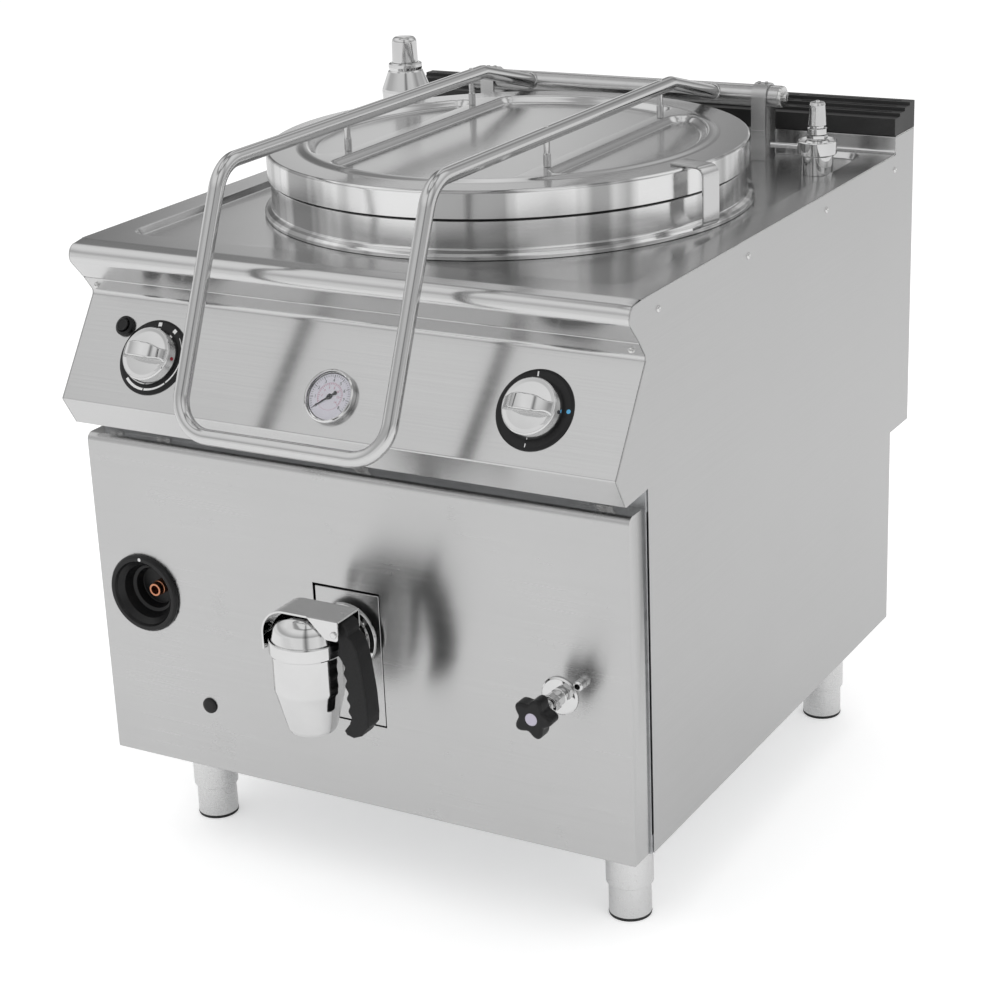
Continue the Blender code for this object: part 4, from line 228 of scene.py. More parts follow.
# One visible piece: its finish, the solid it stands for and the body it rides on
def piece(bm, name, look, stand=None, matrix=None, body="cabinet", sharp=40, recalc=True,
          thickness=0):
    if matrix:
        bm.transform(matrix)
    if recalc:
        bmesh.ops.recalc_face_normals(bm, faces=bm.faces)
    mesh = bpy.data.meshes.new(name)
    bm.to_mesh(mesh)
    bm.free()
    mesh.materials.append(looks[look])
    mesh.shade_smooth()
    made = link(name, mesh)
    if thickness:
        sheet = made.modifiers.new("sheet", "SOLIDIFY")
        sheet.thickness = thickness
        sheet.offset = -1
        sheet.use_even_offset = True
    mesh.set_sharp_from_angle(angle=math.radians(sharp))
    made.modifiers.new("flatFaces", "WEIGHTED_NORMAL").keep_sharp = True
    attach(made, body)
    if stand:
        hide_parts(stand)
    return made


# ---- finishes ----

def newMaterial(name):
    material = bpy.data.materials.new(name)
    material.use_nodes = True
    tree = material.node_tree
    return material, tree, tree.nodes["Principled BSDF"]


def node(tree, kind, inputs=None, **settings):
    made = tree.nodes.new("ShaderNode" + kind)
    for key, value in settings.items():
        setattr(made, key, value)
    for key, value in (inputs or {}).items():
        if isinstance(value, bpy.types.NodeSocket):
            tree.links.new(value, made.inputs[key])
        else:
            made.inputs[key].default_value = value
    return made


def objectPoint(tree):
    return node(tree, "TexCoord").outputs["Object"]


def noise(tree, point, scale, detail=3, rough=0.5):
    return node(tree, "TexNoise", {"Vector": point, "Scale": scale, "Detail": detail,
                                   "Roughness": rough}).outputs["Fac"]


def spread(tree, value, fromLow, fromHigh, low, high):
    return node(tree, "MapRange", {"Value": value, "From Min": fromLow, "From Max": fromHigh,
                                   "To Min": low, "To Max": high}).outputs["Result"]


def maths(tree, operation, first, second):
    return node(tree, "Math", {0: first, 1: second}, operation=operation).outputs[0]


def average(tree, first, second, share):
    return maths(tree, "ADD", maths(tree, "MULTIPLY", first, share), maths(tree, "MULTIPLY", second, 1 - share))


def mixed(tree, share, first, second, blend="MIX"):
    return node(tree, "Mix", {0: share, 6: first, 7: second}, data_type="RGBA", blend_type=blend).outputs[2]


def shade(tone, factor):
    return (*(min(1, channel * factor) for channel in tone), 1)


def grey(value):
    return (value, value, value, 1)


# Gives the shader its colour, between two tones by the share, its roughness and its bumps
def surface(tree, shader, share, tone, dark, light, roughness, normal):
    tree.links.new(mixed(tree, share, shade(tone, dark), shade(tone, light)), shader.inputs["Base Color"])
    tree.links.new(roughness, shader.inputs["Roughness"])
    tree.links.new(normal, shader.inputs["Normal"])


def bump(tree, height, strength, distance):
    return node(tree, "Bump", {"Height": height, "Strength": strength, "Distance": distance}).outputs["Normal"]


# Sheet steel: fine lines, cloudy handling marks, and a gloss stretched across the lines.
# With a centre the lines run round the upright axis through it; with sectors, broad patches round that axis are
# darkened as painted dark reflections.
def steel(name, tone, rough, lines, anisotropy, across=(0, 0, 1), centre=None, lineDepth=0.00001,
          clouds=0.05, smears=0, sectors=0):
    material, tree, shader = newMaterial(name)
    coords = objectPoint(tree)
    if centre:
        arm = node(tree, "VectorMath", {0: coords, 1: centre}, operation="SUBTRACT").outputs[0]
        apart = node(tree, "SeparateXYZ", {"Vector": arm}).outputs
        flat = node(tree, "CombineXYZ", {"X": apart[0], "Y": apart[1]}).outputs[0]
        reach = node(tree, "VectorMath", {0: flat}, operation="LENGTH").outputs["Value"]
        angle = maths(tree, "ARCTAN2", apart[1], apart[0])
        point = node(tree, "CombineXYZ", {"X": maths(tree, "MULTIPLY", reach, lines[1]),
                                          "Y": maths(tree, "MULTIPLY", apart[2], lines[2]),
                                          "Z": maths(tree, "MULTIPLY", angle, lines[0])}).outputs[0]
    else:
        point = node(tree, "Mapping", {"Vector": coords, "Scale": lines}).outputs[0]
    tangent = node(tree, "CombineXYZ", {"X": across[0], "Y": across[1], "Z": across[2]}).outputs[0]
    fine = noise(tree, point, 1.0, 4, 0.65)
    cloudy = noise(tree, coords, 5.0, 4, 0.55)
    blend = average(tree, fine, cloudy, 0.62)
    colour = mixed(tree, spread(tree, blend, 0.30, 0.70, 0, 1), shade(tone, 1 - clouds),
                   shade(tone, 1 + clouds))
    # painted reflection: broad sectors round the kettle's axis are darkened towards grey 0.30
    if sectors:
        turning = node(tree, "CombineXYZ", {"X": maths(tree, "SINE", angle, 0),
                                            "Y": maths(tree, "COSINE", angle, 0)}).outputs[0]
        paintedReflectionMask = noise(tree, turning, 2.6, 3, 0.6)
        colour = mixed(tree, spread(tree, paintedReflectionMask, 0.44, 0.53, sectors, 0), colour, grey(0.30), "MULTIPLY")
    tree.links.new(colour, shader.inputs["Base Color"])
    roughness = spread(tree, blend, 0.3, 0.7, rough * 0.88, rough * 1.14)
    if smears:
        patchy = noise(tree, coords, 14.0, 4, 0.6)
        roughness = maths(tree, "ADD", roughness, spread(tree, patchy, 0.60, 0.72, 0, smears))
    tree.links.new(roughness, shader.inputs["Roughness"])
    tree.links.new(bump(tree, fine, 0.35, lineDepth), shader.inputs["Normal"])
    shader.inputs["Metallic"].default_value = 1
    shader.inputs["Anisotropic"].default_value = anisotropy
    tree.links.new(tangent, shader.inputs["Tangent"])
    return material


# Plated or cast metal: even colour, slow waves in the gloss and small pits
def plated(name, tone, rough, waves=0.00004, waveScale=22):
    material, tree, shader = newMaterial(name)
    point = objectPoint(tree)
    slow = noise(tree, point, waveScale)
    specks = noise(tree, point, 420, 2, 0.5)
    roughness = maths(tree, "ADD", spread(tree, slow, 0.3, 0.7, rough * 0.8, rough * 1.2),
                      spread(tree, specks, 0.62, 0.75, 0, rough))
    surface(tree, shader, spread(tree, slow, 0.3, 0.7, 0, 1), tone, 0.94, 1, roughness,
            bump(tree, slow, 0.5, waves))
    shader.inputs["Metallic"].default_value = 1
    return material


# Moulded or painted surface: grainy skin, colour that varies slightly and greyer high spots
def moulded(name, tone, rough, grainScale, depth, worn=0.25, specular=0.5):
    material, tree, shader = newMaterial(name)
    point = objectPoint(tree)
    skin = noise(tree, point, grainScale, 3, 0.6)
    slow = noise(tree, point, 18, 4, 0.6)
    blend = average(tree, skin, slow, 0.5)
    surface(tree, shader, spread(tree, blend, 0.35, 0.65, 0, 1), tone, 1 - worn * 0.6, 1 + worn,
            spread(tree, blend, 0.3, 0.7, rough * 0.85, rough * 1.15), bump(tree, skin, 0.5, depth))
    shader.inputs["Specular IOR Level"].default_value = specular
    return material


# Zinc coat with its leafy crystals
def galvanised(name, tone):
    material, tree, shader = newMaterial(name)
    point = objectPoint(tree)
    leaves = node(tree, "TexVoronoi", {"Vector": point, "Scale": 90.0}).outputs["Color"]
    leaf = node(tree, "SeparateColor", {"Color": leaves}).outputs[0]
    surface(tree, shader, leaf, tone, 0.82, 1, spread(tree, leaf, 0, 1, 0.34, 0.50),
            bump(tree, leaf, 0.2, 0.00003))
    shader.inputs["Metallic"].default_value = 1
    return material


def clearGlass(name, tone):
    material, tree, shader = newMaterial(name)
    film = noise(tree, objectPoint(tree), 60, 3, 0.5)
    tree.links.new(spread(tree, film, 0.4, 0.8, 0.01, 0.05), shader.inputs["Roughness"])
    shader.inputs["Base Color"].default_value = (*tone, 1)
    shader.inputs["Transmission Weight"].default_value = 1
    shader.inputs["IOR"].default_value = 1.2
    return material


looks, slots = {}, {}


# Makes a finish and notes the slot of the pieces that have it
def keep(kind, slot, name, tone, *settings, **others):
    looks[name] = kind(name, tone if isinstance(tone, tuple) else (tone,) * 3, *settings, **others)
    slots[name] = slot


fine, sideways = (2.2, 520, 520), (0, 1, 0)
# The front, side and control panel sheets are one satin steel; their different base tones are painted light and
# shade, set to how bright each face looks.
keep(steel, "satin_steel", "frontSatin", 0.53, 0.25, fine, 0.80, lineDepth=0.000005, smears=0.03)
keep(steel, "satin_steel", "sideSatin", 0.49, 0.33, (520, 2.2, 520), 0.45, lineDepth=0.000006)
keep(steel, "satin_steel", "panelSatin", 0.59, 0.20, fine, 0.55, smears=0.03)
keep(steel, "bright_steel", "topBright", 0.63, 0.20, (3, 420, 420), 0.60, sideways, clouds=0.03,
     lineDepth=0.000005, smears=0.03)
# the kettle's polished steel has painted dark reflections in sectors round its axis
keep(steel, "bright_steel", "kettleBright", 0.80, 0.19, (1.2, 600, 600), 0.65, centre=kettleAxis, clouds=0.03,
     sectors=0.75)
keep(steel, "bright_steel", "lidTop", 0.66, 0.15, (3, 420, 420), 0.30, sideways, clouds=0.03, smears=0.04)
keep(steel, "satin_steel", "tubeSatin", 0.60, 0.11, (180, 180, 180), 0.2, sideways, clouds=0.02)
keep(steel, "satin_steel", "shaftSatin", 0.56, 0.22, (60, 60, 60), 0.3, (1, 0, 0), lineDepth=0.000004)
keep(steel, "satin_steel", "legSatin", 0.72, 0.28, (300, 300, 500), 0.4)
keep(plated, "chrome", "chrome", 0.68, 0.05)
keep(plated, "bright_steel", "brightFastener", (0.72, 0.72, 0.715), 0.18, 0.00002, 60)
keep(moulded, "black_plastic", "blackPlastic", (0.008, 0.008, 0.0085), 0.32, 700, 0.00005, specular=0.3)
keep(moulded, "black_plastic", "gripRubber", (0.012, 0.012, 0.0125), 0.52, 380, 0.00030, 0.5, 0.28)
keep(moulded, "black_plastic", "blackEnamel", 0.020, 0.50, 1100, 0.00004, 0.4)
keep(moulded, "gasket_rubber", "gasket", 0.030, 0.75, 500, 0.00006, 0.3)
keep(moulded, "black_plastic", "padRubber", 0.016, 0.65, 600, 0.00005, 0.3)
keep(plated, "copper", "copper", (0.60, 0.27, 0.16), 0.30, 0.00003, 80)
keep(plated, "brass", "brass", (0.62, 0.47, 0.20), 0.32, 0.00003, 80)
keep(moulded, "cast_iron", "castIron", (0.07, 0.07, 0.072), 0.65, 260, 0.00030, 0.4)
keep(moulded, "dial_white", "dialFace", (0.76, 0.73, 0.80), 0.45, 1500, 0.00001, 0.03)
keep(moulded, "dial_white", "capLilac", (0.55, 0.52, 0.62), 0.40, 900, 0.00002, 0.05)
keep(moulded, "dial_white", "printWhite", 0.80, 0.50, 1500, 0.00001, 0.04)
for name, tone in (("printRed", (0.24, 0.012, 0.025)), ("printPink", (0.50, 0.20, 0.30)),
                   ("printBlue", (0.10, 0.42, 0.72)), ("printBlack", (0.03, 0.03, 0.035))):
    keep(moulded, "dial_white", name, tone, 0.50, 1500, 0.00001, 0.05)
keep(galvanised, "galvanised_steel", "zinc", (0.52, 0.53, 0.54))
keep(clearGlass, "gauge_glass", "glass", (0.97, 0.98, 0.98))
print("finishes made:", len(looks))

# CAD solids whose shape is right keep it and take a finish
kept = {
    "rear_panel": "sideSatin", "base_frame": "zinc", "flue_box": "zinc", "flue_grille": "blackEnamel",
    "steam_jacket": "sideSatin", "burner": "castIron", "drain_pipe": "topBright", "gas_valve": "brass",
    "water_valve": "brass",
}
for name, look in kept.items():
    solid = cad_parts[name]
    solid.data.materials.clear()
    solid.data.materials.append(looks[look])


# ---- cabinet sheets ----

# Lines of the folded sheets, as ((depth, height), bend)
worktop = {"sheet": 0.002, "recessHalf": 0.360, "recessFront": 0.033, "recessRear": 0.792, "corner": 0.030,
           "wallReach": 0.005, "drop": 0.009, "soft": 0.0013, "holeRadius": 0.322, "innerHalf": 0.3982,
           "nose": (((-0.009, 0.850), 0), ((-0.012, 0.850), 0.028), ((-0.036, 0.846), 0.014),
                    ((-0.040, 0.828), 0.013), ((-0.015, 0.800), 0.0015), ((0.003, 0.80015), 0)),
           "upstand": (((0.797, 0.850), 0), ((0.803, 0.850), 0.0058), ((0.803, 0.875), 0.003),
                       ((0.878, 0.875), 0))}


def fold(bm, edges, line):
    spots, bends = zip(*line)
    runAlong(bm, edges, [at(0, *spot) for spot in spots], bends)


def makeWorktop():
    bm = bmesh.new()
    half, front, rear = worktop["recessHalf"], worktop["recessFront"], worktop["recessRear"]
    shape = Matrix.Translation(at(0, (front + rear) / 2, cabinet["topHeight"])) @ Matrix.Diagonal(
        (half, (rear - front) / 2, 1, 1))
    bmesh.ops.create_grid(bm, x_segments=1, y_segments=1, size=1, matrix=shape)
    bmesh.ops.bevel(bm, geom=bm.verts[:], offset=worktop["corner"], offset_type="OFFSET", segments=10,
                    profile=0.5, affect="VERTICES", material=-1)
    bmesh.ops.inset_region(bm, faces=bm.faces[:], thickness=worktop["wallReach"], depth=-worktop["drop"],
                           use_boundary=True, use_even_offset=True)
    rim = [edge for edge in bm.edges if len(edge.link_faces) == 1]
    floor = max(bm.faces, key=lambda face: len(face.verts))
    floorEdges = list(floor.edges)
    bmesh.ops.delete(bm, geom=[floor], context="FACES_ONLY")
    hole = circleEdges(bm, 96, worktop["holeRadius"],
                       kettleSeat @ shift(0, 0, cabinet["topHeight"] - worktop["drop"]))
    bmesh.ops.bridge_loops(bm, edges=floorEdges + hole)
    # flat border round the recess, out to the sheet's edges
    middle, corner = (front + rear) / 2 - cabinet["middle"], worktop["corner"]
    edgeFront, edgeRear = (worktop[key][0][0][0] - cabinet["middle"] for key in ("nose", "upstand"))
    for vert in vertsOf(bmesh.ops.extrude_edge_only(bm, edges=rim)["geom"]):
        ahead = vert.co.y < middle
        pivot = Vector((math.copysign(half - corner, vert.co.x),
                        (front + corner if ahead else rear - corner) - cabinet["middle"]))
        arm = vert.co.xy - pivot
        arm /= max(abs(arm.x), abs(arm.y))
        vert.co.x = pivot.x + arm.x * (cabinet["halfWidth"] - abs(pivot.x))
        vert.co.y = pivot.y + arm.y * (abs((edgeFront if ahead else edgeRear) - pivot.y))
    aim(bm, (0, 0, 1))
    walls = [face for face in bm.faces if abs(face.normal.z) < 0.9]
    bends = list({edge for face in walls for edge in face.edges if len(edge.link_faces) == 2
                  and any(abs(other.normal.z) > 0.9 for other in edge.link_faces)})
    soften(bm, bends, worktop["soft"])
    # bullnose and seam in front, cove and upstand behind
    free = [edge for edge in bm.edges if len(edge.link_faces) == 1]
    ends = [[edge for edge in free if all(abs(vert.co.y - place) < close for vert in edge.verts)]
            for place in (edgeFront, edgeRear)]
    fold(bm, ends[0], worktop["nose"])
    fold(bm, ends[1], worktop["upstand"])
    for vert in bm.verts:
        if vert.co.y < edgeFront - close:
            vert.co.x = max(-worktop["innerHalf"], min(worktop["innerHalf"], vert.co.x))
    aim(bm, (0, 0, 1))
    piece(bm, "worktopSheet", "topBright", "worktop", recalc=False, thickness=worktop["sheet"])


sidePanel = {"sheet": 0.0015, "edge": 0.0003, "left": (-0.400, 0.3985),
             "line": (((0, 0.140), 0), ((0, 0.619), 0), ((-0.058, 0.615), 0.002), ((-0.081, 0.654), 0.003),
                      ((0.00256, 0.7765), 0.008), ((-0.015, 0.800), 0), ((-0.040, 0.828), 0.012),
                      ((-0.036, 0.846), 0.012), ((-0.012, 0.8483), 0), ((0.8053, 0.8477), 0),
                      ((0.8053, 0.8727), 0), ((0.878, 0.8727), 0.001), ((0.878, 0.434), 0.001),
                      ((0.806, 0.434), 0.001), ((0.806, 0.140), 0.001))}


def makeSidePanels():
    spots, radii = zip(*sidePanel["line"])
    outline = [(depth - cabinet["middle"], height) for depth, height in spots]
    standing = turned(90, "Z") @ turned(90, "X")
    for side, left in zip(("Left", "Right"), sidePanel["left"]):
        bm = slab(outline, radii, left, left + sidePanel["sheet"], sidePanel["edge"], 1, 8)
        piece(bm, "sidePanel" + side, "sideSatin", "side_panel_" + side.lower(), standing)


controlPanel = {"sheet": 0.0015, "innerHalf": 0.3980,
                "line": (((0.003, 0.79985), 0), ((-0.015, 0.79985), 0.0015), ((0.00256, 0.7765), 0.008),
                         ((-0.081, 0.654), 0.003), ((-0.058, 0.615), 0.002), ((0.018, 0.62024), 0))}


def makeControlPanel():
    bm = bmesh.new()
    half = controlPanel["innerHalf"]
    start = [bm.verts.new(at(side * half, *controlPanel["line"][0][0])) for side in (-1, 1)]
    fold(bm, [bm.edges.new(start)], controlPanel["line"])
    aim(bm, (0, -1, 0.3))
    piece(bm, "controlPanelSheet", "panelSatin", "control_panel", recalc=False, thickness=controlPanel["sheet"])


frontPanel = {"half": 0.396, "out": 0.044, "backOut": 0.005, "top": 0.596, "bottom": 0.140, "topRound": 0.010,
              "edgeRound": 0.0025, "sheet": 0.0015, "window": (-0.054, 0.257, 0.046, 0.442),
              "port": (-0.324, 0.3815, 0.0473), "portSquare": 0.062}


def splitFront(bm, point, normal):
    faces = [face for face in bm.faces if face.normal.y < -0.99]
    verts = list({vert for face in faces for vert in face.verts})
    bmesh.ops.bisect_plane(bm, geom=verts + edgesOf(faces) + faces, plane_co=point, plane_no=normal, dist=1e-6)


def makeFrontPanel():
    bm, spec = bmesh.new(), frontPanel
    frontSide = at(0, spec["backOut"] - spec["out"], 0).y
    block(bm, at(-spec["half"], -spec["out"], spec["bottom"]), at(spec["half"], -spec["backOut"], spec["top"]))
    bmesh.ops.delete(bm, geom=[face for face in bm.faces if face.normal.y > 0.5], context="FACES_ONLY")
    edges = [edge for edge in bm.edges if len(edge.link_faces) == 2]
    top = [edge for edge in edges
           if all(vert.co.z > spec["bottom"] + 0.1 and vert.co.y < frontSide for vert in edge.verts)]
    others = [edge for edge in edges if edge not in top]
    soften(bm, top, spec["topRound"], 8)
    soften(bm, [edge for edge in others if edge.is_valid], spec["edgeRound"], 4)
    px, pz, radius = spec["port"]
    square = spec["portSquare"]
    window, opening = spec["window"], (px - square, pz - square, px + square, pz + square)
    for x in (*window[::2], *opening[::2]):
        splitFront(bm, (x, 0, 0), (1, 0, 0))
    for z in (*window[1::2], *opening[1::2]):
        splitFront(bm, (0, 0, z), (0, 0, 1))

    def clear(x0, z0, x1, z1):
        inside = [face for face in bm.faces if face.normal.y < -0.99
                  and x0 < face.calc_center_median().x < x1 and z0 < face.calc_center_median().z < z1]
        rim = [edge for face in inside for edge in face.edges]
        rim = list({edge for edge in rim if rim.count(edge) == 1})
        bmesh.ops.delete(bm, geom=inside, context="FACES")
        return [edge for edge in rim if edge.is_valid]

    clear(*window)
    bmesh.ops.subdivide_edges(bm, edges=clear(*opening), cuts=7)
    rim = [edge for edge in bm.edges if len(edge.link_faces) == 1
           and all(abs(max(abs(vert.co.x - px), abs(vert.co.z - pz)) - square) < close
                   and vert.co.y < frontSide for vert in edge.verts)]
    bmesh.ops.bridge_loops(bm, edges=rim + circleEdges(bm, 64, radius, move(px, -spec["out"], pz) @ forward))
    aim(bm, (0, -1, 0))
    piece(bm, "frontDoor", "frontSatin", "front_panel", recalc=False, thickness=spec["sheet"])


tapPlate = {"low": (-0.0508, -0.0437, 0.2588), "high": (0.0444, -0.0302, 0.4385), "round": 0.0012}


def makeTapPlate():
    bm = bmesh.new()
    block(bm, at(*tapPlate["low"]), at(*tapPlate["high"]), tapPlate["round"], 3)
    piece(bm, "tapPlate", "frontSatin", "drain_backplate")


makeWorktop()
makeSidePanels()
makeControlPanel()
makeFrontPanel()
makeTapPlate()
print("cabinet sheets made")


# ---- legs ----

leg = {"places": (("front_left", -0.327, 0.075), ("front_right", 0.327, 0.075), ("rear_left", -0.327, 0.731),
                  ("rear_right", 0.327, 0.731)),
       "sleeve": [(0, 139.7), (30.5, 139.7, 1), (31, 62), (31, 47, 1.5), (28.5, 47, 0.8), (28.4, 129),
                  (0, 129)],
       "foot": [(0, 128), (8, 128), (8, 60), (27.6, 60, 1), (28, 4.5), (27.2, 4.5), (0, 4.5)],
       "pad": [(0, 4.4), (27.8, 4.4, 0.6), (28.4, 3), (27.8, 0, 1), (0, 0)]}


def makeLegs():
    for name, across, depth in leg["places"]:
        where = move(across, depth, 0)
        piece(lathe(leg["sleeve"], 64), "legSleeve_" + name, "legSatin", "leg_sleeve_" + name, where)
        piece(lathe(leg["foot"], 64), "legFoot_" + name, "legSatin", "leg_foot_" + name, where)
        piece(lathe(leg["pad"], 64), "legPad_" + name, "padRubber", None, where)


# ---- kettle ----

# The vessel's line starts at the middle of its inside
kettle = {"collar": [(317.5, 888, 0.7), (319.5, 888, 0.9), (319.5, 852, 3.5), (326.2, 849.3, 3),
                     (330, 846.2, 2.2), (329.2, 841.3, 1), (317.5, 841.3)],
          "vessel": [(0, 464), (300, 468, 43), (300, 888, 1), (317, 888, 0.5), (317, 886), (302, 886),
                     (302, 466, 45), (0, 462)]}


def makeKettle():
    piece(lathe(kettle["collar"], kettleSteps, True), "kettleCollar", "kettleBright", "kettle_collar",
          kettleSeat)
    piece(lathe(kettle["vessel"], kettleSteps, False, 8), "kettleVessel", "kettleBright", "kettle_vessel",
          kettleSeat)


makeLegs()
makeKettle()
print("legs and kettle made")


# ---- lid, frame and hinge ----

lid = {"radius": 0.3235, "top": 0.927, "inside": 0.915, "insideHole": 0.020, "bottom": 0.892,
       "field": 0.272, "ridgeRise": 0.003, "ridgeOffset": 0.145, "ridgeHalf": 0.005, "sheet": 0.0015,
       "edge": 0.0045, "step": 0.0095, "margin": 0.003, "fillet": 0.024,
       # inward reach and drop of each step of the slope
       "slopes": ((0.0015, 0.0002), (0.0020, 0.0009), (0.0025, 0.0024), (0.0025, 0.0027), (0.0025, 0.0019),
                  (0.0020, 0.0007), (0.0015, 0.0002))}


# One pressed field: straight sides along the ridges, round ends, rounded corners and soft slopes down
def lidField(side):
    bm = bmesh.new()
    reach, fillet = lid["field"] - lid["margin"], lid["fillet"]
    ridge = lid["top"] + lid["ridgeRise"]
    outward = 1 if side else -1
    chord = lid["ridgeOffset"] + outward * (lid["ridgeHalf"] + lid["margin"])
    across = chord + outward * fillet
    along = math.sqrt((reach - fillet) ** 2 - across ** 2)
    turn = math.atan2(along, across)

    def arc(last, centre, angle, steps):
        made = bmesh.ops.spin(bm, geom=[last], cent=(*centre, ridge), axis=(0, 0, 1), angle=angle, steps=steps,
                              use_merge=False)
        return vertsOf(made["geom_last"])[0]

    def straight(last, point):
        vert = bm.verts.new((*point, ridge))
        bm.edges.new((last, vert))
        return vert

    last = straight(bm.verts.new((chord, -along, ridge)), (chord, along))
    if side:
        last = arc(last, (across, along), turn - math.pi, 12)
        last = arc(last, (0, 0), -2 * turn, 60)
        arc(last, (across, -along), turn - math.pi, 12)
    else:
        for half in (1, -1):
            last = arc(last, (half * across, half * along), turn, 10)
            last = arc(last, (0, 0), math.pi - 2 * turn, 60)
            last = arc(last, (-half * across, half * along), turn, 10)
            if half > 0:
                last = straight(last, (-chord, -along))
    bmesh.ops.remove_doubles(bm, verts=bm.verts, dist=close)
    bmesh.ops.contextual_create(bm, geom=bm.edges[:])
    field = bm.faces[:][0]
    if field.normal.z < 0:
        bmesh.ops.reverse_faces(bm, faces=[field])
    for reach, drop in lid["slopes"]:
        bmesh.ops.inset_region(bm, faces=[field], thickness=reach, depth=-drop, use_boundary=True,
                               use_even_offset=True)
    if side < 0:
        bmesh.ops.rotate(bm, verts=bm.verts, cent=(0, 0, 0), matrix=Matrix.Rotation(math.pi, 3, "Z"))
    return bm


def makeLid():
    bm = bmesh.new()
    ridge = lid["top"] + lid["ridgeRise"]
    for side in (-1, 0, 1):
        absorb(bm, lidField(side))
    bmesh.ops.create_circle(bm, segments=180, radius=lid["field"], matrix=shift(0, 0, ridge))
    outlines = [edge for edge in bm.edges if len(edge.link_faces) < 2]
    bmesh.ops.triangle_fill(bm, use_beauty=True, use_dissolve=False, edges=outlines, normal=(0, 0, 1))
    # rim: down from the ridge to the flat ring, over the edge and down the side
    outer, top = lid["radius"], lid["top"]
    inner, foot = outer - lid["sheet"], lid["field"] + lid["step"]
    rings = ((foot, top), (outer, top), (outer, lid["bottom"]), (inner, lid["bottom"]), (inner, lid["inside"]),
             (lid["insideHole"], lid["inside"]))
    edges = [edge for edge in bm.edges if len(edge.link_faces) == 1]
    radius, height = lid["field"], ridge
    for nextRadius, nextHeight in rings:
        edges, moved = newEdges(bmesh.ops.extrude_edge_only(bm, edges=edges)["geom"])
        bmesh.ops.scale(bm, verts=moved, vec=(nextRadius / radius, nextRadius / radius, 1))
        bmesh.ops.translate(bm, verts=moved, vec=(0, 0, nextHeight - height))
        radius, height = nextRadius, nextHeight
    bmesh.ops.contextual_create(bm, geom=edges)

    def ringEdges(r, z):
        return [edge for edge in bm.edges if all(abs(vert.co.z - z) < close
                and abs(vert.co.xy.length - r) < 0.0004 for vert in edge.verts)]

    soften(bm, ringEdges(outer, top), lid["edge"], 5)
    soften(bm, ringEdges(foot, top) + ringEdges(lid["field"], ridge), lid["margin"])
    made = piece(bm, "lidShell", "lidTop", "lid", kettleSeat, body="lid")
    # the rolled side is polished round, the top is brushed across
    made.data.materials.append(looks["kettleBright"])
    for face in made.data.polygons:
        if (face.center.xy - kettleAxis.xy).length > outer - lid["margin"]:
            face.material_index = 1


lidFrame = {"radius": 0.010, "half": 0.148, "sides": 28, "start": 0.0125, "posts": 0.163,
            "line": ((0.755, 0.930), (0.600, 0.971), (-0.039, 0.971), (-0.172, 0.670)),
            "bends": (0, 0.048, 0.048, 0.047), "bead": [(10, 4, 1), (11.8, 2, 1.5), (12.5, -3, 1), (10, -4)],
            "post": [(0, 971), (4, 971), (4, 947, 0.5), (4.9, 946.3, 0.3), (4.9, 930.3, 0.4), (0, 930.3)],
            "cap": [(0, 982.2), (2.6, 982.2, 0.8), (3, 980), (0, 980)]}


lidUnder = {"gasket": [(303, 892), (316, 892), (316, 888.3, 1.2), (303, 888.3, 1.2)],
            "liner": [(0, 894.3), (321.2, 894.3), (321.2, 892.3, 0.6), (0, 892.3)]}


def makeLidUnderside():
    piece(lathe(lidUnder["gasket"], kettleSteps, True), "lidSeal", "gasket", "lid_gasket", kettleSeat,
          body="lid")
    piece(lathe(lidUnder["liner"], kettleSteps), "lidLining", "topBright", "lid_liner", kettleSeat, body="lid")


def makeLidFrame():
    spec, half = lidFrame, lidFrame["half"]
    points = [at(-half, *item) for item in spec["line"]] + [at(half, *item) for item in reversed(spec["line"])]
    heading = (points[1] - points[0]).normalized()
    last = (points[-2] - points[-1]).normalized()
    points[0] += heading * spec["start"]
    points[-1] += last * spec["start"]
    bm = bmesh.new()
    edges = circleEdges(bm, spec["sides"], spec["radius"], facing(points[0], heading))
    ends = runAlong(bm, edges, points, spec["bends"] + spec["bends"][::-1], 0.10)
    capEnds(bm, edges, ends)
    bmesh.ops.recalc_face_normals(bm, faces=bm.faces)
    posts = [move(across, cabinet["kettleDepth"] + gap, 0) for across in (-half, half)
             for gap in (-spec["posts"], spec["posts"])]
    for where in posts:
        absorb(bm, lathe(spec["post"], 24), where)
    # weld beads where the tube meets the shaft
    for start, along in ((points[0], heading), (points[-1], last)):
        absorb(bm, lathe(spec["bead"], 36, True), facing(start + along * 0.003, along))
    piece(bm, "lidFrameTube", "tubeSatin", "lid_frame", body="lid", recalc=False)
    bm = bmesh.new()
    for where in posts:
        absorb(bm, lathe(spec["cap"], 20), where)
    piece(bm, "frameScrewHeads", "brightFastener", body="lid")


hinge = {"depth": 0.755, "height": 0.930, "half": 0.247,
         "slot": ((-0.0052, -0.0009, 0.0088), (0.0052, 0.0009, 0.00975)), "screwShift": 0.0055,
         "tube": [(12.5, 247, 0.5), (15.5, 247, 0.5), (15.5, -247, 0.5), (12.5, -247, 0.5)],
         "screw": [(0, 1.8), (2.4, 1.8, 0.7), (3, 0), (0, 0)],
         "end": [(0, 9.5), (6, 9.5, 1), (6.6, 8.5), (6.6, 4.5), (14.8, 4.3, 1.2), (15.2, 0.3), (12.2, 0.3),
                 (12.2, -19.7), (0, -19.7)],
         "bracket": {"inner": 0.0160, "sheet": 0.003, "left": 0.209, "width": 0.022, "foot": 0.8413}}


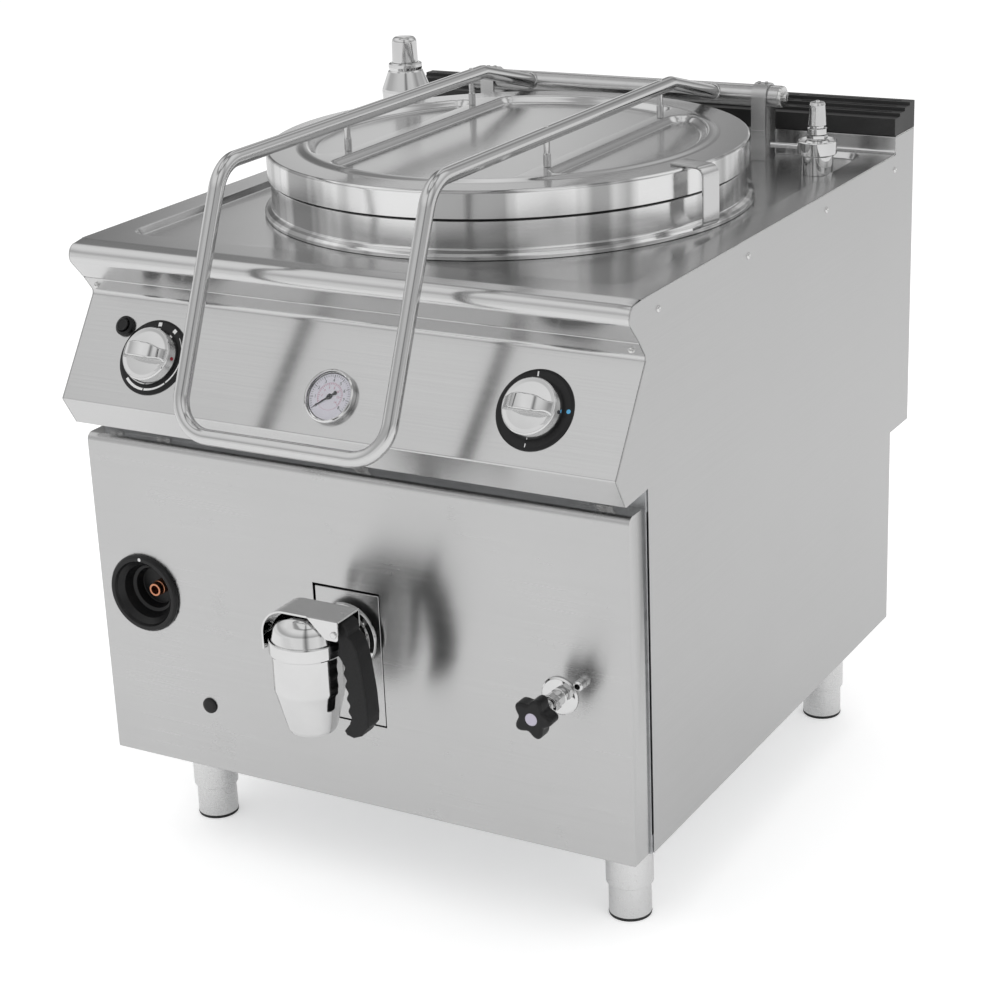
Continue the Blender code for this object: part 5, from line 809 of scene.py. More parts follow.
def makeHinge():
    centre, sidewise = move(0, hinge["depth"], hinge["height"]), turned(90, "Y")
    piece(lathe(hinge["tube"], 64, True), "hingeTube", "shaftSatin", "hinge_shaft", centre @ sidewise,
          body="lid")
    for side, turn in (("Right", sidewise), ("Left", sidewise @ turned(180, "X"))):
        bm = lathe(hinge["end"], 48)
        slot = bmesh.new()
        block(slot, *hinge["slot"], 0.0002, 1)
        absorb(bm, slot)
        piece(bm, "hingeEnd" + side, "brightFastener", "shaft_end_" + side.lower(),
              centre @ turn @ shift(0, 0, hinge["half"]), body="lid")
    spec = hinge["bracket"]
    reach, middle = spec["inner"] + spec["sheet"], at(0, hinge["depth"], hinge["height"])
    for side, left in (("Left", -spec["left"] - spec["width"]), ("Right", spec["left"])):
        bm = bmesh.new()
        start = [bm.verts.new((across, middle.y - reach, spec["foot"]))
                 for across in (left, left + spec["width"])]
        edges, moved = pull(bm, [bm.edges.new(start)], (0, 0, middle.z - spec["foot"]))
        made = bmesh.ops.spin(bm, geom=edges + moved, cent=middle, axis=(1, 0, 0), angle=-math.pi, steps=24,
                              use_merge=False)
        pull(bm, newEdges(made["geom_last"])[0], (0, 0, spec["foot"] - middle.z))
        aim(bm, (0, 0, 1))
        bmesh.ops.solidify(bm, geom=bm.faces[:], thickness=spec["sheet"])
        for across in (-hinge["screwShift"], hinge["screwShift"]):
            absorb(bm, lathe(hinge["screw"], 20),
                   shift(left + spec["width"] / 2 + across, middle.y - 0.002, middle.z + reach - 0.0002))
        piece(bm, "hingeStrap" + side, "frontSatin", "hinge_bracket_" + side.lower(), sharp=35)


strap = {"angle": -15, "width": 0.030, "sheet": 0.003,
         "line": ((0.298, 0.9303), (0.352, 0.9303), (0.352, 0.8563), (0.334, 0.8483)),
         "bends": (0, 0.013, 0.009, 0)}


def makeStrap():
    bm = bmesh.new()
    points = [Vector((reach, 0, height)) for reach, height in strap["line"]]
    start = [bm.verts.new(points[0] + Vector((0, side * strap["width"] / 2, 0))) for side in (-1, 1)]
    runAlong(bm, [bm.edges.new(start)], points, strap["bends"])
    aim(bm, (0, 0, 1))
    piece(bm, "lidHookStrap", "topBright", "lid_strap", kettleSeat @ turned(strap["angle"], "Z"), body="lid",
          recalc=False, thickness=strap["sheet"])


makeLid()
makeLidUnderside()
makeLidFrame()
makeHinge()
makeStrap()
print("lid, frame and hinge made")


# ---- dials and knobs on the sloping panel ----

def onPanel(across, down):
    tilt = math.radians(cabinet["panelTilt"])
    depth, height = controlPanel["line"][2][0]
    spot = at(across, depth - math.sin(tilt) * down, height - math.cos(tilt) * down)
    return Matrix.Translation(spot) @ turned(90 - cabinet["panelTilt"], "X")


dial = {"offset": 0.276, "down": 0.078, "height": 0.003,
        "plate": [(5.3, 3), (46.5, 3, 0.6), (50, 1.8, 0.6), (50, 0.3), (5.3, 0.3)],
        "dot": [(0, 0.18), (2.7, 0.18, 0.1), (2.7, 0), (0, 0)],
        "pointer": [(0, 0.6), (2.4, 0.6, 0.3), (2.4, -1), (0, -1)],
        "skirt": [(0, 17.2), (29, 15, 4), (33.8, 15.8, 1.2), (35.2, 14, 1.2), (37.8, 4, 1), (38, 0, 0.6),
                  (0, 0)],
        "print": 0.00015, "scaleRadius": 0.0442, "scaleSweep": 41.6, "scaleStart": 40.8, "gripHalf": 0.0088,
        "gripReach": 0.0338, "gripTop": 0.036, "gripLow": 0.0125, "gripWaist": 0.0030, "gripEdge": 0.0022,
        "gripRows": (0.018, 0.023, 0.028), "square": ((0.0410, -0.0027), (0.0462, 0.0027)), "squares": (92, 57),
        "lines": (((0.0405, -0.0009), (0.0465, 0.0009), 98), ((0.0415, -0.0006), (0.0460, 0.0006), 270)),
        "strokeEnds": (0.0005, 0.0011), "strokeGrowth": 0.0006, "strokeTurn": 44,
        "dotPlace": (0.0445, 0.003), "pointerPlace": (0.0366, -0.0012, 0.0115), "pointerTilt": 75}


def makeKnob(side, seat):
    bm = lathe(dial["skirt"], 72)
    # the grip: an arched bar left between two scooped hollows, narrow in the middle
    reach, low, top = dial["gripReach"], dial["gripLow"], dial["gripTop"]
    rise = top - low
    radius = (reach ** 2 + rise ** 2) / (2 * rise)
    start = math.asin(reach / radius)
    grip = bmesh.new()
    bmesh.ops.spin(grip, geom=[grip.verts.new((reach, 0, low))], cent=(0, 0, top - radius), axis=(0, 1, 0),
                   angle=-2 * start, steps=24, use_merge=False)
    grip.edges.new([vert for vert in grip.verts if len(vert.link_edges) == 1])
    bmesh.ops.contextual_create(grip, geom=grip.edges[:])
    half = dial["gripHalf"]
    bmesh.ops.translate(grip, verts=grip.verts, vec=(0, -half, 0))
    thicken(grip, (0, 2 * half, 0))
    for height in dial["gripRows"]:
        bmesh.ops.bisect_plane(grip, geom=grip.verts[:] + grip.edges[:] + grip.faces[:],
                               plane_co=(0, 0, height), plane_no=(0, 0, 1), dist=1e-6)
    for vert in grip.verts:
        share = max(0, min(1, (vert.co.z - low) / rise))
        flare = dial["gripWaist"] * (1 - math.sin(math.pi * min(1, share * 1.15)))
        vert.co.y = math.copysign(half - dial["gripWaist"] * 0.6 + flare, vert.co.y)
    sides = [face for face in grip.faces if abs(face.normal.y) > 0.8]
    crown = list({edge for face in grip.faces if abs(face.normal.y) < 0.5 for edge in face.edges
                  if any(other in sides for other in edge.link_faces) and edge.calc_length() > 0})
    crown = [edge for edge in crown if all(vert.co.z > low + 0.001 for vert in edge.verts)]
    soften(grip, crown, dial["gripEdge"])
    absorb(bm, grip)
    piece(bm, "knobCap_" + side, "chrome", "knob_" + side, seat @ shift(0, 0, dial["height"] + 0.0003),
          body="knob_" + side, sharp=42)


# A printed mark, standing slightly proud
def mark(bm, low, high, turn, height):
    part = bmesh.new()
    block(part, (*low, height), (*high, height + dial["print"]))
    absorb(bm, part, turned(turn, "Z"))


def makeDials():
    left = onPanel(-dial["offset"], dial["down"])
    right = onPanel(dial["offset"], dial["down"])
    for side, seat in (("left", left), ("right", right)):
        piece(lathe(dial["plate"], 96, True), "dialPlate_" + side, "blackPlastic", "dial_plate_" + side, seat)
        makeKnob(side, seat)
    lift = dial["height"] - 0.00002
    # left dial: two small squares and a flame scale that grows in four steps
    bm = bmesh.new()
    for turn in dial["squares"]:
        mark(bm, *dial["square"], turn, lift)
    rim, sweep = dial["scaleRadius"], math.radians(dial["scaleSweep"])
    for index in range(4):
        stroke = bmesh.new()
        narrow, wide = (end + index * dial["strokeGrowth"] for end in dial["strokeEnds"])
        inner = stroke.verts.new((rim - narrow, 0, lift))
        outer = stroke.verts.new((rim + narrow * 0.3, 0, lift))
        edge = stroke.edges.new((inner, outer))
        bmesh.ops.spin(stroke, geom=[inner, outer, edge], cent=(0, 0, 0), axis=(0, 0, 1), angle=-sweep,
                       steps=16, use_merge=False)
        for vert in stroke.verts:
            share = -math.atan2(vert.co.y, vert.co.x) / sweep
            if vert.co.xy.length < rim:
                vert.co.xy = vert.co.xy.normalized() * (rim - narrow - (wide - narrow) * share)
        thicken(stroke, (0, 0, dial["print"]))
        absorb(bm, stroke, turned(dial["scaleStart"] - dial["strokeTurn"] * index, "Z"))
    piece(bm, "dialMarksLeft", "printWhite", None, left)
    bm = bmesh.new()
    for line in dial["lines"]:
        mark(bm, *line, lift)
    piece(bm, "dialMarksRight", "printWhite", None, right)
    piece(lathe(dial["dot"], 32), "dialDotBlue", "printBlue", None, right @ shift(*dial["dotPlace"], lift))
    # pointer spots on the knobs' skirts
    for side, seat, colour in (("left", left, "printRed"), ("right", right, "printBlack")):
        where = seat @ shift(*dial["pointerPlace"]) @ turned(dial["pointerTilt"], "Y")
        piece(lathe(dial["pointer"], 24), "knobPointer_" + side, colour, None, where, body="knob_" + side)


igniter = {"offset": -0.332, "down": 0.042,
           "ring": [(0, -14), (8.5, -14), (8.5, 5.5, 0.4), (10, 6.2, 0.6), (13.2, 4.2, 0.8), (13.5, 0.3),
                    (10.5, 0.3), (10.5, -18), (0, -18)],
           "button": [(0, 8.4), (5.8, 8.6, 1), (7.2, 9.2, 0.5), (8.2, 8.6, 0.6), (8.2, -9.7), (0, -9.7)]}
gauge = {"down": 0.097, "face": 0.0040,
         "case": [(0, 4), (31, 4), (31.2, 8.8, 0.4), (32.2, 9.2, 0.5), (34.1, 8, 0.8), (34.5, 6, 0.5),
                  (34.5, 0.3, 0.4), (30, 0.3), (30, -25), (0, -25)],
         "disc": [(0, 0.2), (30.4, 0.2, 0.1), (30.4, -0.2), (0, -0.2)],
         # a black ring at the dial's rim: a painted shadow line under the bezel
         "shadow": [(29.2, 0.2), (30.3, 0.2), (30.3, 0), (29.2, 0)],
         "ring": [(17.2, 0.12), (17.5, 0.12), (17.5, 0), (17.2, 0)],
         "pane": [(0, 8.7), (30.6, 8.6, 0.2), (30.6, 7.4), (0, 7.4)],
         # marks, first and whole angle, marks to a number, its worth, radii, half widths, digits' place, size
         "scales": ((41, 218, 256, 5, 1, (0.0235, 0.0250, 0.0278), (0.00035, 0.00020), 0.0205, 0.0058),
                    (29, 214, 248, 4, 2, (0.0140, 0.0152, 0.0172), (0.00026, 0.00026), 0.0115, 0.0040)),
         "needleRest": 128, "needleHeights": (0.0006, 0.0013), "markLift": 0.00019, "textDepth": 0.00006,
         "needle": (((-0.0011, 0.0052), 0.0006), ((-0.0004, 0.0240), 0.0002), ((0.0004, 0.0240), 0.0002),
                    ((0.0011, 0.0052), 0.0006), ((0.0034, 0.0016), 0.0014), ((0.0034, -0.0016), 0.0014),
                    ((0.0010, -0.0036), 0.0006), ((0.0013, -0.0060), 0.001), ((0.0030, -0.0088), 0.0008),
                    ((0.0016, -0.0105), 0.001), ((-0.0016, -0.0105), 0.001), ((-0.0030, -0.0088), 0.0008),
                    ((-0.0013, -0.0060), 0.001), ((-0.0010, -0.0036), 0.0006), ((-0.0034, -0.0016), 0.0014),
                    ((-0.0034, 0.0016), 0.0014))}


def makeText(text, size):
    curve = bpy.data.curves.new("digits", "FONT")
    curve.body = text
    curve.size = size
    curve.align_x = curve.align_y = "CENTER"
    curve.extrude = gauge["textDepth"]
    curve.resolution_u = 3
    holder = link("digits", curve)
    depsgraph = bpy.context.evaluated_depsgraph_get()
    mesh = bpy.data.meshes.new_from_object(holder.evaluated_get(depsgraph))
    bpy.data.objects.remove(holder, do_unlink=True)
    bm = bmesh.new()
    bm.from_mesh(mesh)
    bpy.data.meshes.remove(mesh)
    bmesh.ops.remove_doubles(bm, verts=bm.verts, dist=1e-6)
    return bm


def makeGauge():
    seat = onPanel(0, gauge["down"])
    piece(lathe(gauge["case"], 96), "gaugeCase", "chrome", "gauge_case", seat)
    face = gauge["face"]
    onFace = seat @ shift(0, 0, face)
    piece(lathe(gauge["disc"], 64), "gaugeFace", "dialFace", None, onFace)
    lift = face + gauge["markLift"]
    scales = []
    for count, first, sweep, every, worth, reach, widths, digitsAt, size in gauge["scales"]:
        bm = bmesh.new()
        for index in range(count):
            turn = first - sweep * index / (count - 1)
            short = index % every > 0
            mark(bm, (reach[short], -widths[short]), (reach[2], widths[short]), turn, lift)
            if not short:
                angle = math.radians(turn)
                spot = shift(digitsAt * math.cos(angle), digitsAt * math.sin(angle), 0)
                absorb(bm, makeText(str(index // every * worth), size), spot @ shift(0, 0, lift + 0.0001))
        scales.append(bm)
    dark, pink = scales
    # the dark marks take the black ring at the rim, a painted shadow line, and the pink marks take a printed
    # ring
    for scale, band in ((dark, "shadow"), (pink, "ring")):
        absorb(scale, lathe(gauge[band], 64, True), shift(0, 0, lift))
    piece(dark, "gaugeScaleAndShadowRing", "printBlack", None, seat)
    piece(pink, "gaugeScalePink", "printPink", None, seat)
    low, high = gauge["needleHeights"]
    hand = slab(*zip(*gauge["needle"]), face + low, face + high, 0.0001, 1, 3)
    piece(hand, "gaugeHand", "printBlack", "gauge_needle", seat @ turned(gauge["needleRest"], "Z"),
          body="gauge_needle")
    piece(lathe(gauge["pane"], 64), "gaugePane", "glass", "gauge_glass", seat)


def makeIgniter():
    seat = onPanel(igniter["offset"], igniter["down"])
    piece(lathe(igniter["ring"], 48), "igniterRing", "blackPlastic", "igniter_bezel", seat)
    piece(lathe(igniter["button"], 48), "igniterCap", "blackPlastic", "igniter_button", seat,
          body="igniter_button")


makeDials()
makeGauge()
makeIgniter()
print("dials, knobs and gauge made")


# ---- fittings on the front panel; their own Z points forward ----

port = {"place": (-0.324, -0.044, 0.3815), "shift": 0.006, "dotUp": 0.0490, "plugPlace": (-0.233, -0.044, 0.234),
        "dot": [(0, 7.3), (2.4, 7.3, 0.1), (2.4, 6.8), (0, 6.8)],
        "plug": [(0, 3.2), (7, 3.2, 0.6), (10.5, 2.4, 0.6), (11, 0.3), (8, 0.3), (8, -8), (0, -8)],
        "bezel": [(0, -30), (26, -30, 1), (28.5, -18, 1), (33, -16.5, 1), (37.5, -4, 1), (44, 3, 1.2),
                  (46.2, 7, 1.2), (51.5, 7, 2.5), (54, 3.5, 1.5), (54, 0.3), (47, 0.3), (47, -3.5), (28, -32),
                  (0, -32)],
        "tube": [(6, -12, 0.4), (8.8, -12, 0.6), (9.2, -20, 0.4), (10, -20.5), (10, -52), (6, -52)]}


def makePort():
    where = move(*port["place"]) @ forward
    piece(lathe(port["bezel"], 96), "pilotPort", "blackPlastic", "pilot_port_bezel", where)
    piece(lathe(port["dot"], 24), "pilotPortDot", "printWhite", None, where @ shift(0, port["dotUp"], 0))
    inner = where @ shift(port["shift"], 0, 0)
    piece(lathe(port["tube"], 40, True), "pilotTube", "copper", "pilot_port_tube", inner)
    piece(lathe(port["plug"], 40), "holePlug", "blackPlastic", "hole_plug", move(*port["plugPlace"]) @ forward)


levelCock = {"place": (0.2986, -0.044, 0.353), "nozzlePlace": (0.3285, -0.044, 0.375),
             "hub": [(0, 47.5), (12.5, 47.5, 1), (13, 53), (0, 53)],
             "cap": [(0, 75.2), (7, 75, 0.8), (8.2, 73.8), (0, 73.8)],
             "nozzle": [(0, 12), (4, 12, 0.8), (6.4, 10, 1), (6.5, 0.3), (4, 0.3), (4, -8), (0, -8)],
             "near": 0.051, "thick": 0.023, "radius": 0.0225, "lobe": 0.0040, "lobes": 5, "knobEdge": 0.0042,
             "nut": (0.0215, 0.0160, 0.0275),
             "body": [(0, 66.5), (5, 66.5), (5, 46), (8.5, 45.5, 0.4), (8.5, 38, 0.4), (6.8, 37.5), (6.8, 30),
                      (11, 29.5, 0.6), (11, 15, 0.4), (9.6, 14.5), (9.6, 4.5, 2), (22.5, 3.8, 1), (25, 2, 0.8),
                      (25, 0.3), (9, 0.3), (9, -20), (0, -20)]}


def hexNut(acrossFlats, low, high, edge=0.0006):
    bm, radius = bmesh.new(), acrossFlats / math.sqrt(3)
    bmesh.ops.create_cone(bm, cap_ends=True, segments=6, radius1=radius, radius2=radius, depth=high - low,
                          matrix=shift(0, 0, (low + high) / 2))
    soften(bm, bm.edges[:], edge, 2)
    return bm


def makeLevelCock():
    spec = levelCock
    where = move(*spec["place"]) @ forward
    bm = lathe(spec["body"], 48)
    absorb(bm, hexNut(*spec["nut"]))
    piece(bm, "levelCockBody", "chrome", "level_cock_body", where)
    bm = bmesh.new()
    ring = bmesh.ops.create_circle(bm, cap_ends=True, segments=90, radius=spec["radius"],
                                   matrix=shift(0, 0, spec["near"]))["verts"]
    for vert in ring:
        angle = math.atan2(vert.co.y, vert.co.x)
        vert.co.xy = vert.co.xy.normalized() * (spec["radius"] + spec["lobe"] * math.cos(spec["lobes"] * angle))
    thicken(bm, (0, 0, spec["thick"]))
    soften(bm, flatRims(bm), spec["knobEdge"], 5)
    absorb(bm, lathe(spec["hub"], 40))
    piece(bm, "levelCockKnob", "blackPlastic", "level_cock_knob", where, body="level_cock_knob", sharp=30)
    piece(lathe(spec["cap"], 40), "levelKnobCap", "capLilac", None, where, body="level_cock_knob")
    piece(lathe(spec["nozzle"], 32), "levelNozzle", "chrome", "level_nozzle",
          move(*spec["nozzlePlace"]) @ forward)


# ---- drain tap ----

tap = {"out": 0.140, "branchHeight": 0.382, "nut": (0.052, 0.0625, 0.0690, 0.001),
       "body": [(38, 405), (45, 405, 0.5), (45, 349, 16), (31.2, 296, 4), (29, 292, 1), (26, 292, 0.8),
                (26, 352), (38, 352)],
       "branch": [(12, 100), (15.5, 100), (15.5, 78), (20, 77.5, 2), (29, 73, 2), (30, 70, 1), (30, 61.5, 1),
                  (38.5, 61, 1.5), (44, 58, 1), (45, 55.5, 0.6), (44.8, 53, 0.4), (15.5, 53), (15.5, 20),
                  (12, 20)],
       "cap": [(5.6, 450.5, 0.3), (24, 450.2, 30), (40.5, 436, 20), (44.6, 417.2, 0.4), (47.4, 417, 1.2),
               (48, 415, 0.8), (48, 399.5, 1), (47.2, 398), (45.3, 398), (45.3, 405.3), (38, 405.3), (5.6, 440)],
       "plunger": [(0, 447.5), (4.6, 447.5, 0.6), (5, 446), (5, 358.3), (34, 358.3, 1), (34, 352.3),
                   (0, 352.3)],
       "yoke": {"line": ((0.0628, 0, 0.4545), (-0.0508, 0, 0.4545), (-0.0508, 0, 0.3990)), "bend": 0.034,
                "half": 0.0250, "strapHalf": 0.0237, "sheet": 0.0025,
                "cheek": ((0.018, 0.4540), (0.044, 0.4285), (0.0628, 0.4285), (0.0628, 0.4540))},
       "pin": [(0, 27.5), (4, 27.5, 1.2), (4.6, 25), (3, 25), (3, -25), (4.6, -25), (4, -27.2, 0.8),
               (0, -27.2)],
       "pivot": (0.057, 0.437)}


def makeTap():
    where = move(0, -tap["out"], 0)
    bm = lathe(tap["body"], 80, True)
    bm.transform(where)
    for part in (lathe(tap["branch"], 64, True), hexNut(*tap["nut"])):
        absorb(bm, part, move(0, 0, tap["branchHeight"]) @ forward)
    piece(bm, "tapBody", "chrome", "tap_body")
    piece(lathe(tap["cap"], 80, True), "tapCap", "chrome", "tap_cap", where)
    piece(lathe(tap["plunger"], 48), "tapPlunger", "chrome", "tap_plunger", where, body="tap_plunger")
    spec = tap["yoke"]
    bm = bmesh.new()
    ends = [Vector(spec["line"][0]) + Vector((0, side * spec["strapHalf"], 0)) for side in (-1, 1)]
    start = [bm.verts.new(end) for end in ends]
    runAlong(bm, [bm.edges.new(start)], spec["line"], [0, spec["bend"], 0], 0.08)
    aim(bm, (0, 0, 1))
    bmesh.ops.solidify(bm, geom=bm.faces[:], thickness=spec["sheet"])
    for side in (-1, 1):
        low, high = sorted((side * spec["half"], side * (spec["half"] - spec["sheet"])))
        cheek = slab(spec["cheek"], [0, 0.004, 0.004, 0.0005], low, high, 0.0004, 2, 4)
        absorb(bm, cheek, forward)
    absorb(bm, lathe(tap["pin"], 28), shift(tap["pivot"][0], 0, tap["pivot"][1]) @ forward)
    piece(bm, "tapYoke", "chrome", "tap_yoke", where, sharp=35)


handle = {"left": 0.0495, "top": 0.4505, "width": 0.042, "length": 0.154, "half": 0.0142, "scallops": 5,
          "depth": 0.0034, "head": 0.0133, "headTurns": (190, -20), "edge": 0.0026,
          "right": ((0.62, 0.15), (0.75, 0.22), (0.86, 0.38), (0.97, 0.62), (1.0, 0.80), (0.97, 0.88),
                    (0.72, 0.97), (0.45, 1.0), (0.22, 0.985), (0.14, 0.95)),
          "grip": ((0.34, 0.88), (0.20, 0.34)), "hook": ((0.06, 0.29), (0.10, 0.26), (0.14, 0.19))}


def makeHandle():
    spec = handle
    px, pz = tap["pivot"]

    def spot(shares):
        return (spec["left"] + spec["width"] * shares[0] - px, spec["top"] - spec["length"] * shares[1] - pz)

    bm = bmesh.new()
    outline = [spot(item) for item in spec["right"] + spec["grip"] + spec["hook"]]
    first, last = spec["headTurns"]
    for step in range(8):
        angle = math.radians(first + (last - first) * step / 7)
        outline.append((spec["head"] * math.cos(angle), spec["head"] * math.sin(angle)))
    verts = [bm.verts.new((*point, 0)) for point in outline]
    edges = [bm.edges.new((first, second)) for first, second in zip(verts, verts[1:] + verts[:1])]
    gripEdge = edges[len(spec["right"])]
    low, high = gripEdge.verts[0].co.copy(), gripEdge.verts[1].co.copy()
    sideways = Vector((high.y - low.y, low.x - high.x, 0)).normalized()
    for vert in vertsOf(bmesh.ops.subdivide_edges(bm, edges=[gripEdge], cuts=39)["geom_inner"]):
        share = (vert.co - low).length / (high - low).length
        vert.co += sideways * spec["depth"] * (1 - math.cos(math.tau * share * spec["scallops"])) / 2
    others = [edge for edge in bm.edges if edge.calc_length() > 0.006]
    bmesh.ops.subdivide_edges(bm, edges=others, cuts=3, smooth=0)
    bmesh.ops.contextual_create(bm, geom=bm.edges[:])
    bmesh.ops.translate(bm, verts=bm.verts, vec=(0, 0, -spec["half"]))
    thicken(bm, (0, 0, 2 * spec["half"]))
    soften(bm, flatRims(bm), spec["edge"], 4)
    where = move(px, -tap["out"], pz) @ forward
    piece(bm, "tapGrip", "gripRubber", "tap_handle", where, body="tap_handle", sharp=50)


makePort()
makeLevelCock()
makeTap()
makeHandle()
print("front fittings made")


# ---- fittings on the worktop ----

safety = {"place": (-0.330, 0.685),
          "body": [(0, 978), (6, 978, 0.5), (6, 962), (21.5, 962, 0.6), (24.8, 960, 1), (25.3, 955.5, 1),
                   (24, 951, 0.6), (26.2, 949, 0.8), (36, 924, 2), (36.7, 920, 1), (36, 908.5, 1.5), (20, 908),
                   (19, 906), (13, 906), (13, 856), (20, 854, 1), (22, 852, 1), (22, 841.3), (0, 841.3)],
          "cap": [(0, 1000), (18.5, 1000, 8.5), (19.3, 964, 0.5), (19.3, 962.3), (6.3, 962.3), (6.3, 978.3),
                  (0, 978.3)]}
cock = {"place": (0.328, 0.690), "rodHeight": 0.876, "rodRadius": 0.0040, "rodStart": -0.020,
        "rodLength": 0.0485, "nut": (0.0255, 0.8895, 0.8950, 0.0005),
        "grooves": {"from": 0.0270, "low": 0.8695, "high": 0.8858, "turn": 2.5, "share": 0.982},
        "body": [(0, 942), (3, 942, 0.6), (3.2, 940), (9.5, 939.5, 1), (11, 936, 1.5), (13.2, 908.5, 0.6),
                 (10, 907.2), (10, 905), (13.6, 904, 0.5), (13.6, 896, 0.5), (11.8, 895), (11.8, 888.3),
                 (10, 888.3), (10, 867), (22, 867, 0.8), (22.5, 866), (22.5, 841.3), (0, 841.3)],
        "ring": [(10.4, 887.6), (15, 887.6, 0.4), (17.8, 884.5, 0.6), (23.5, 886.2, 0.6), (25.5, 887.8, 0.8),
                 (27.3, 886.2, 0.8), (27.3, 869, 0.8), (25.5, 867.5), (10.4, 867.5)]}


def makeSafetyValve():
    where = move(*safety["place"], 0)
    piece(lathe(safety["body"], 72), "safetyValveBody", "chrome", "safety_valve_body", where)
    piece(lathe(safety["cap"], 64), "safetyValveCap", "chrome", "safety_valve_cap", where,
          body="safety_valve_cap")


def makeFillingCock():
    where = move(*cock["place"], 0)
    bm = lathe(cock["body"], 48)
    absorb(bm, hexNut(*cock["nut"]))
    piece(bm, "fillCockBody", "chrome", "fill_cock_body", where)
    bm, groove = lathe(cock["ring"], 144, True), cock["grooves"]
    for vert in bm.verts:
        if vert.co.xy.length > groove["from"] and groove["low"] < vert.co.z < groove["high"]:
            if round(math.degrees(math.atan2(vert.co.y, vert.co.x)) / groove["turn"]) % 2:
                vert.co.xy *= groove["share"]
    rod = bmesh.new()
    height = cock["rodHeight"]
    edges = circleEdges(rod, 24, cock["rodRadius"], shift(cock["rodStart"], 0, height) @ turned(90, "Y"))
    ends = pull(rod, edges, (-cock["rodLength"], 0, 0))[0]
    tips, moved = pull(rod, ends, (-0.0012, 0, 0))
    bmesh.ops.scale(rod, verts=moved, vec=(1, 0.7, 0.7), space=shift(0, 0, -height))
    capEnds(rod, tips, edges)
    absorb(bm, rod)
    piece(bm, "fillCockCollar", "chrome", "fill_cock_ring", where, body="fill_cock_ring", sharp=35)


screw = {"sideHeight": 0.827, "sideDepths": (0.034, 0.290, 0.546, 0.802),
         "rearAcross": (-0.380, -0.127, 0.127, 0.380),
         "rearSpots": ((0.878, 0.452), (0.878, 0.858), (0.806, 0.160)), "seamAcross": 0.385135,
         "seamSpot": (-0.0072, 0.7880), "seamTilt": 56,
         "clipAcross": (-0.378, -0.300, 0.010, 0.350), "clip": ((-0.0068, 0.6000), (-0.0055, 0.6125)),
         "clipScrew": (-0.0069, 0.6065),
         "head": [(0, 1), (1.2, 1.2, 0.3), (2, 2.2, 0.5), (4.2, 0.8, 0.6), (4.5, -0.4), (0, -0.4)]}


def makeScrews():
    places = []
    for side in (-1, 1):
        places += [move(side * cabinet["halfWidth"], depth, screw["sideHeight"]) @ turned(90 * side, "Y")
                   for depth in screw["sideDepths"]]
        places.append(move(side * screw["seamAcross"], *screw["seamSpot"]) @ turned(screw["seamTilt"], "X"))
    places += [move(across, depth, height) @ turned(-90, "X") for across in screw["rearAcross"]
               for depth, height in screw["rearSpots"]]
    bm = bmesh.new()
    for where in places:
        absorb(bm, lathe(screw["head"], 20), where)
    piece(bm, "panelScrews", "brightFastener")
    bm = bmesh.new()
    for across in screw["clipAcross"]:
        low, high = screw["clip"]
        block(bm, at(across - 0.011, *low), at(across + 0.011, *high), 0.0004, 1)
        absorb(bm, lathe(screw["head"], 20), move(across, *screw["clipScrew"]) @ forward)
    piece(bm, "slotClips", "brightFastener")


makeSafetyValve()
makeFillingCock()
makeScrews()
print("worktop fittings and screws made")


# ---- floor, world, lamps and camera ----

# Shares of the rays that come from the camera and from a mirror or a glass
def raysOf(tree):
    light = node(tree, "LightPath")
    mirrored = maths(tree, "MAXIMUM", light.outputs["Is Glossy Ray"], light.outputs["Is Transmission Ray"])
    return light.outputs["Is Camera Ray"], mirrored


def ramp(tree, share, stops):
    made = node(tree, "ValToRGB", {"Fac": share})
    elements = made.color_ramp.elements
    elements[0].color, elements[1].color = grey(stops[0]), grey(stops[-1])
    for place, value in stops[1:-1]:
        elements.new(place).color = grey(value)
    return made.outputs[0]


studio = {"aim": (0, 0, 0.5), "diffuse": 0.75, "floorSeen": 0.42, "floorMirrored": 0.22,
          "lamps": (("keyLamp", (-2.2, -2.6, 4.2), 3.0, 40), ("fillLamp", (3.4, -1.4, 3.0), 2.4, 18),
                    ("topLamp", (0.4, 0.8, 4.4), 2.6, 22)),
          "byHeight": (0.95, (0.20, 0.95), (0.26, 0.74), (0.32, 0.56), (0.42, 0.60), (0.55, 0.80), (0.70, 0.98),
                       (0.86, 0.96), (0.90, 0.45), (0.935, 0.40), (0.955, 0.95), 0.90),
          "byAngle": (1, (0.10, 0.95), (0.20, 1.0), (0.30, 0.95), (0.335, 0.25), (0.37, 0.90), (0.44, 1.0),
                      (0.52, 0.55), (0.56, 0.95), (0.68, 1.0), (0.73, 0.35), (0.78, 0.95), (0.80, 0.50),
                      (0.815, 0.40), (0.83, 0.95), (0.843, 1.0), (0.853, 0.70), (0.862, 0.32), (0.88, 0.30),
                      (0.92, 0.90), 1)}


def makeStage():
    bm = bmesh.new()
    bmesh.ops.create_grid(bm, x_segments=1, y_segments=1, size=30)
    mesh = bpy.data.meshes.new("studioFloor")
    bm.to_mesh(mesh)
    bm.free()
    floor = link("studioFloor", mesh)
    material, tree, shader = newMaterial("paleFloor")
    shader.inputs["Base Color"].default_value = grey(0.86)
    shader.inputs["Roughness"].default_value = 0.9
    shader.inputs["Specular IOR Level"].default_value = 0.1
    direct, mirrored = raysOf(tree)
    seen = maths(tree, "ADD", maths(tree, "MULTIPLY", direct, studio["floorSeen"]),
                 maths(tree, "MULTIPLY", mirrored, studio["floorMirrored"]))
    shader.inputs["Emission Color"].default_value = grey(1)
    tree.links.new(seen, shader.inputs["Emission Strength"])
    mesh.materials.append(material)


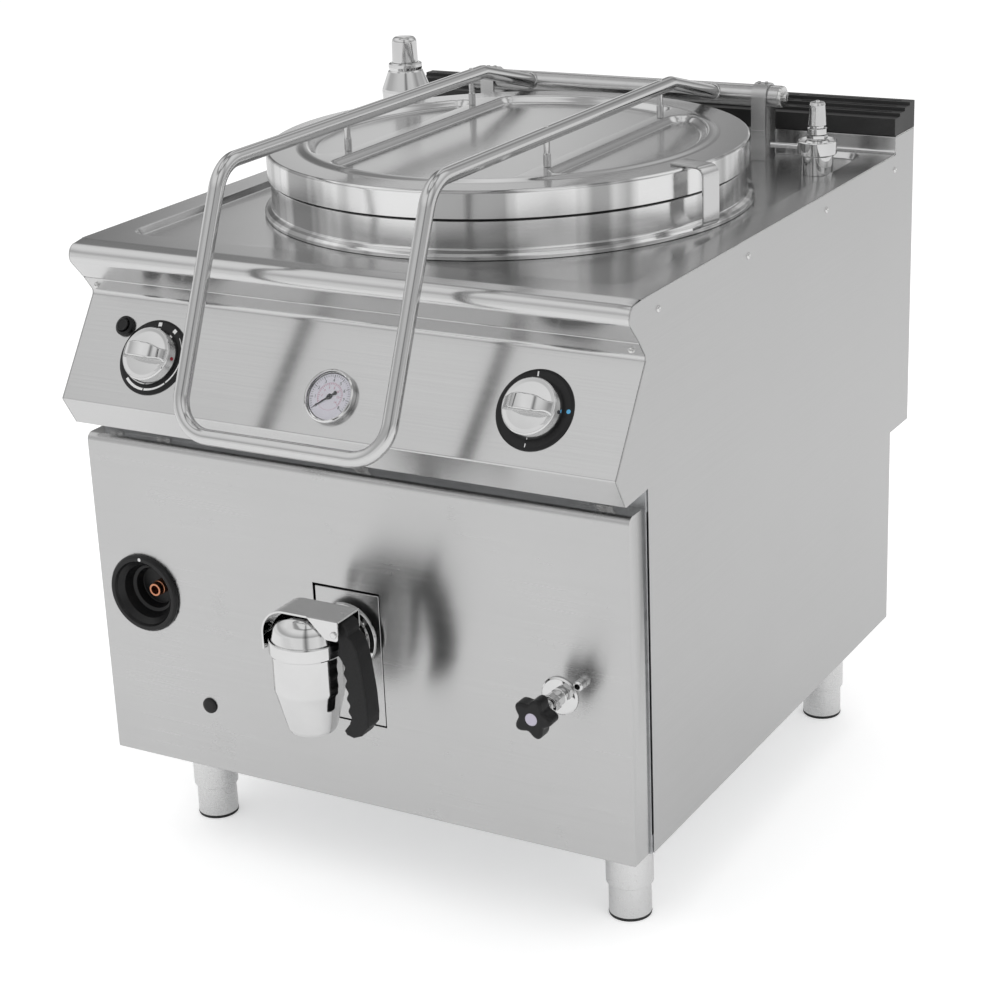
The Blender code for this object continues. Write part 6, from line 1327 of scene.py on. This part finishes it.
def makeWorld():
    world = bpy.data.worlds.new("studio")
    bpy.context.scene.world = world
    world.use_nodes = True
    tree = world.node_tree
    tree.nodes.clear()
    direct, mirrored = raysOf(tree)
    apart = node(tree, "SeparateXYZ", {"Vector": node(tree, "TexCoord").outputs["Generated"]}).outputs
    byHeight = ramp(tree, spread(tree, apart[2], -0.1, 1.0, 0, 1), studio["byHeight"])
    angle = maths(tree, "ARCTAN2", apart[1], apart[0])
    byAngle = ramp(tree, spread(tree, angle, -math.pi, math.pi, 0, 1), studio["byAngle"])
    backs = [node(tree, "Background", {"Color": colour, "Strength": strength}).outputs[0]
             for colour, strength in (
        (grey(1), 1), (grey(1), studio["diffuse"]), (mixed(tree, 1, byHeight, byAngle, "MULTIPLY"), 1))]
    first = node(tree, "MixShader", {0: mirrored, 1: backs[1], 2: backs[2]})
    second = node(tree, "MixShader", {0: direct, 1: first.outputs[0], 2: backs[0]})
    out = node(tree, "OutputWorld")
    tree.links.new(second.outputs[0], out.inputs["Surface"])


def makeLamps():
    for name, place, size, power in studio["lamps"]:
        lamp = bpy.data.lights.new(name, "AREA")
        lamp.shape = "SQUARE"
        lamp.size = size
        lamp.energy = power
        holder = link(name, lamp)
        holder.location = place
        holder.visible_glossy = False
        toward = Vector(studio["aim"]) - Vector(place)
        holder.rotation_euler = toward.to_track_quat("-Z", "Y").to_euler()


camera = {"place": (1.5326, -2.6428, 1.5619), "yaw": -0.5255, "pitch": 0.3556, "roll": -0.0409, "focal": 2.3414}


def makeCamera():
    yaw, pitch, roll = camera["yaw"], camera["pitch"], camera["roll"]
    ahead = Vector((math.sin(yaw) * math.cos(pitch), math.cos(yaw) * math.cos(pitch), -math.sin(pitch)))
    right = Vector((math.cos(yaw), -math.sin(yaw), 0))
    up = right.cross(ahead)
    across = right * math.cos(roll) + up * math.sin(roll)
    above = up * math.cos(roll) - right * math.sin(roll)
    lens = bpy.data.cameras.new("photoCamera")
    lens.sensor_width = 36
    lens.lens = 36 * camera["focal"]
    lens.clip_end = 100
    holder = link("photoCamera", lens)
    pose = Matrix((across, above, -ahead)).transposed().to_4x4()
    holder.matrix_world = Matrix.Translation(camera["place"]) @ pose
    bpy.context.scene.camera = holder


makeStage()
makeWorld()
makeLamps()
makeCamera()
bpy.context.scene.view_settings.view_transform = "Standard"
print("stage, lamps and camera made")
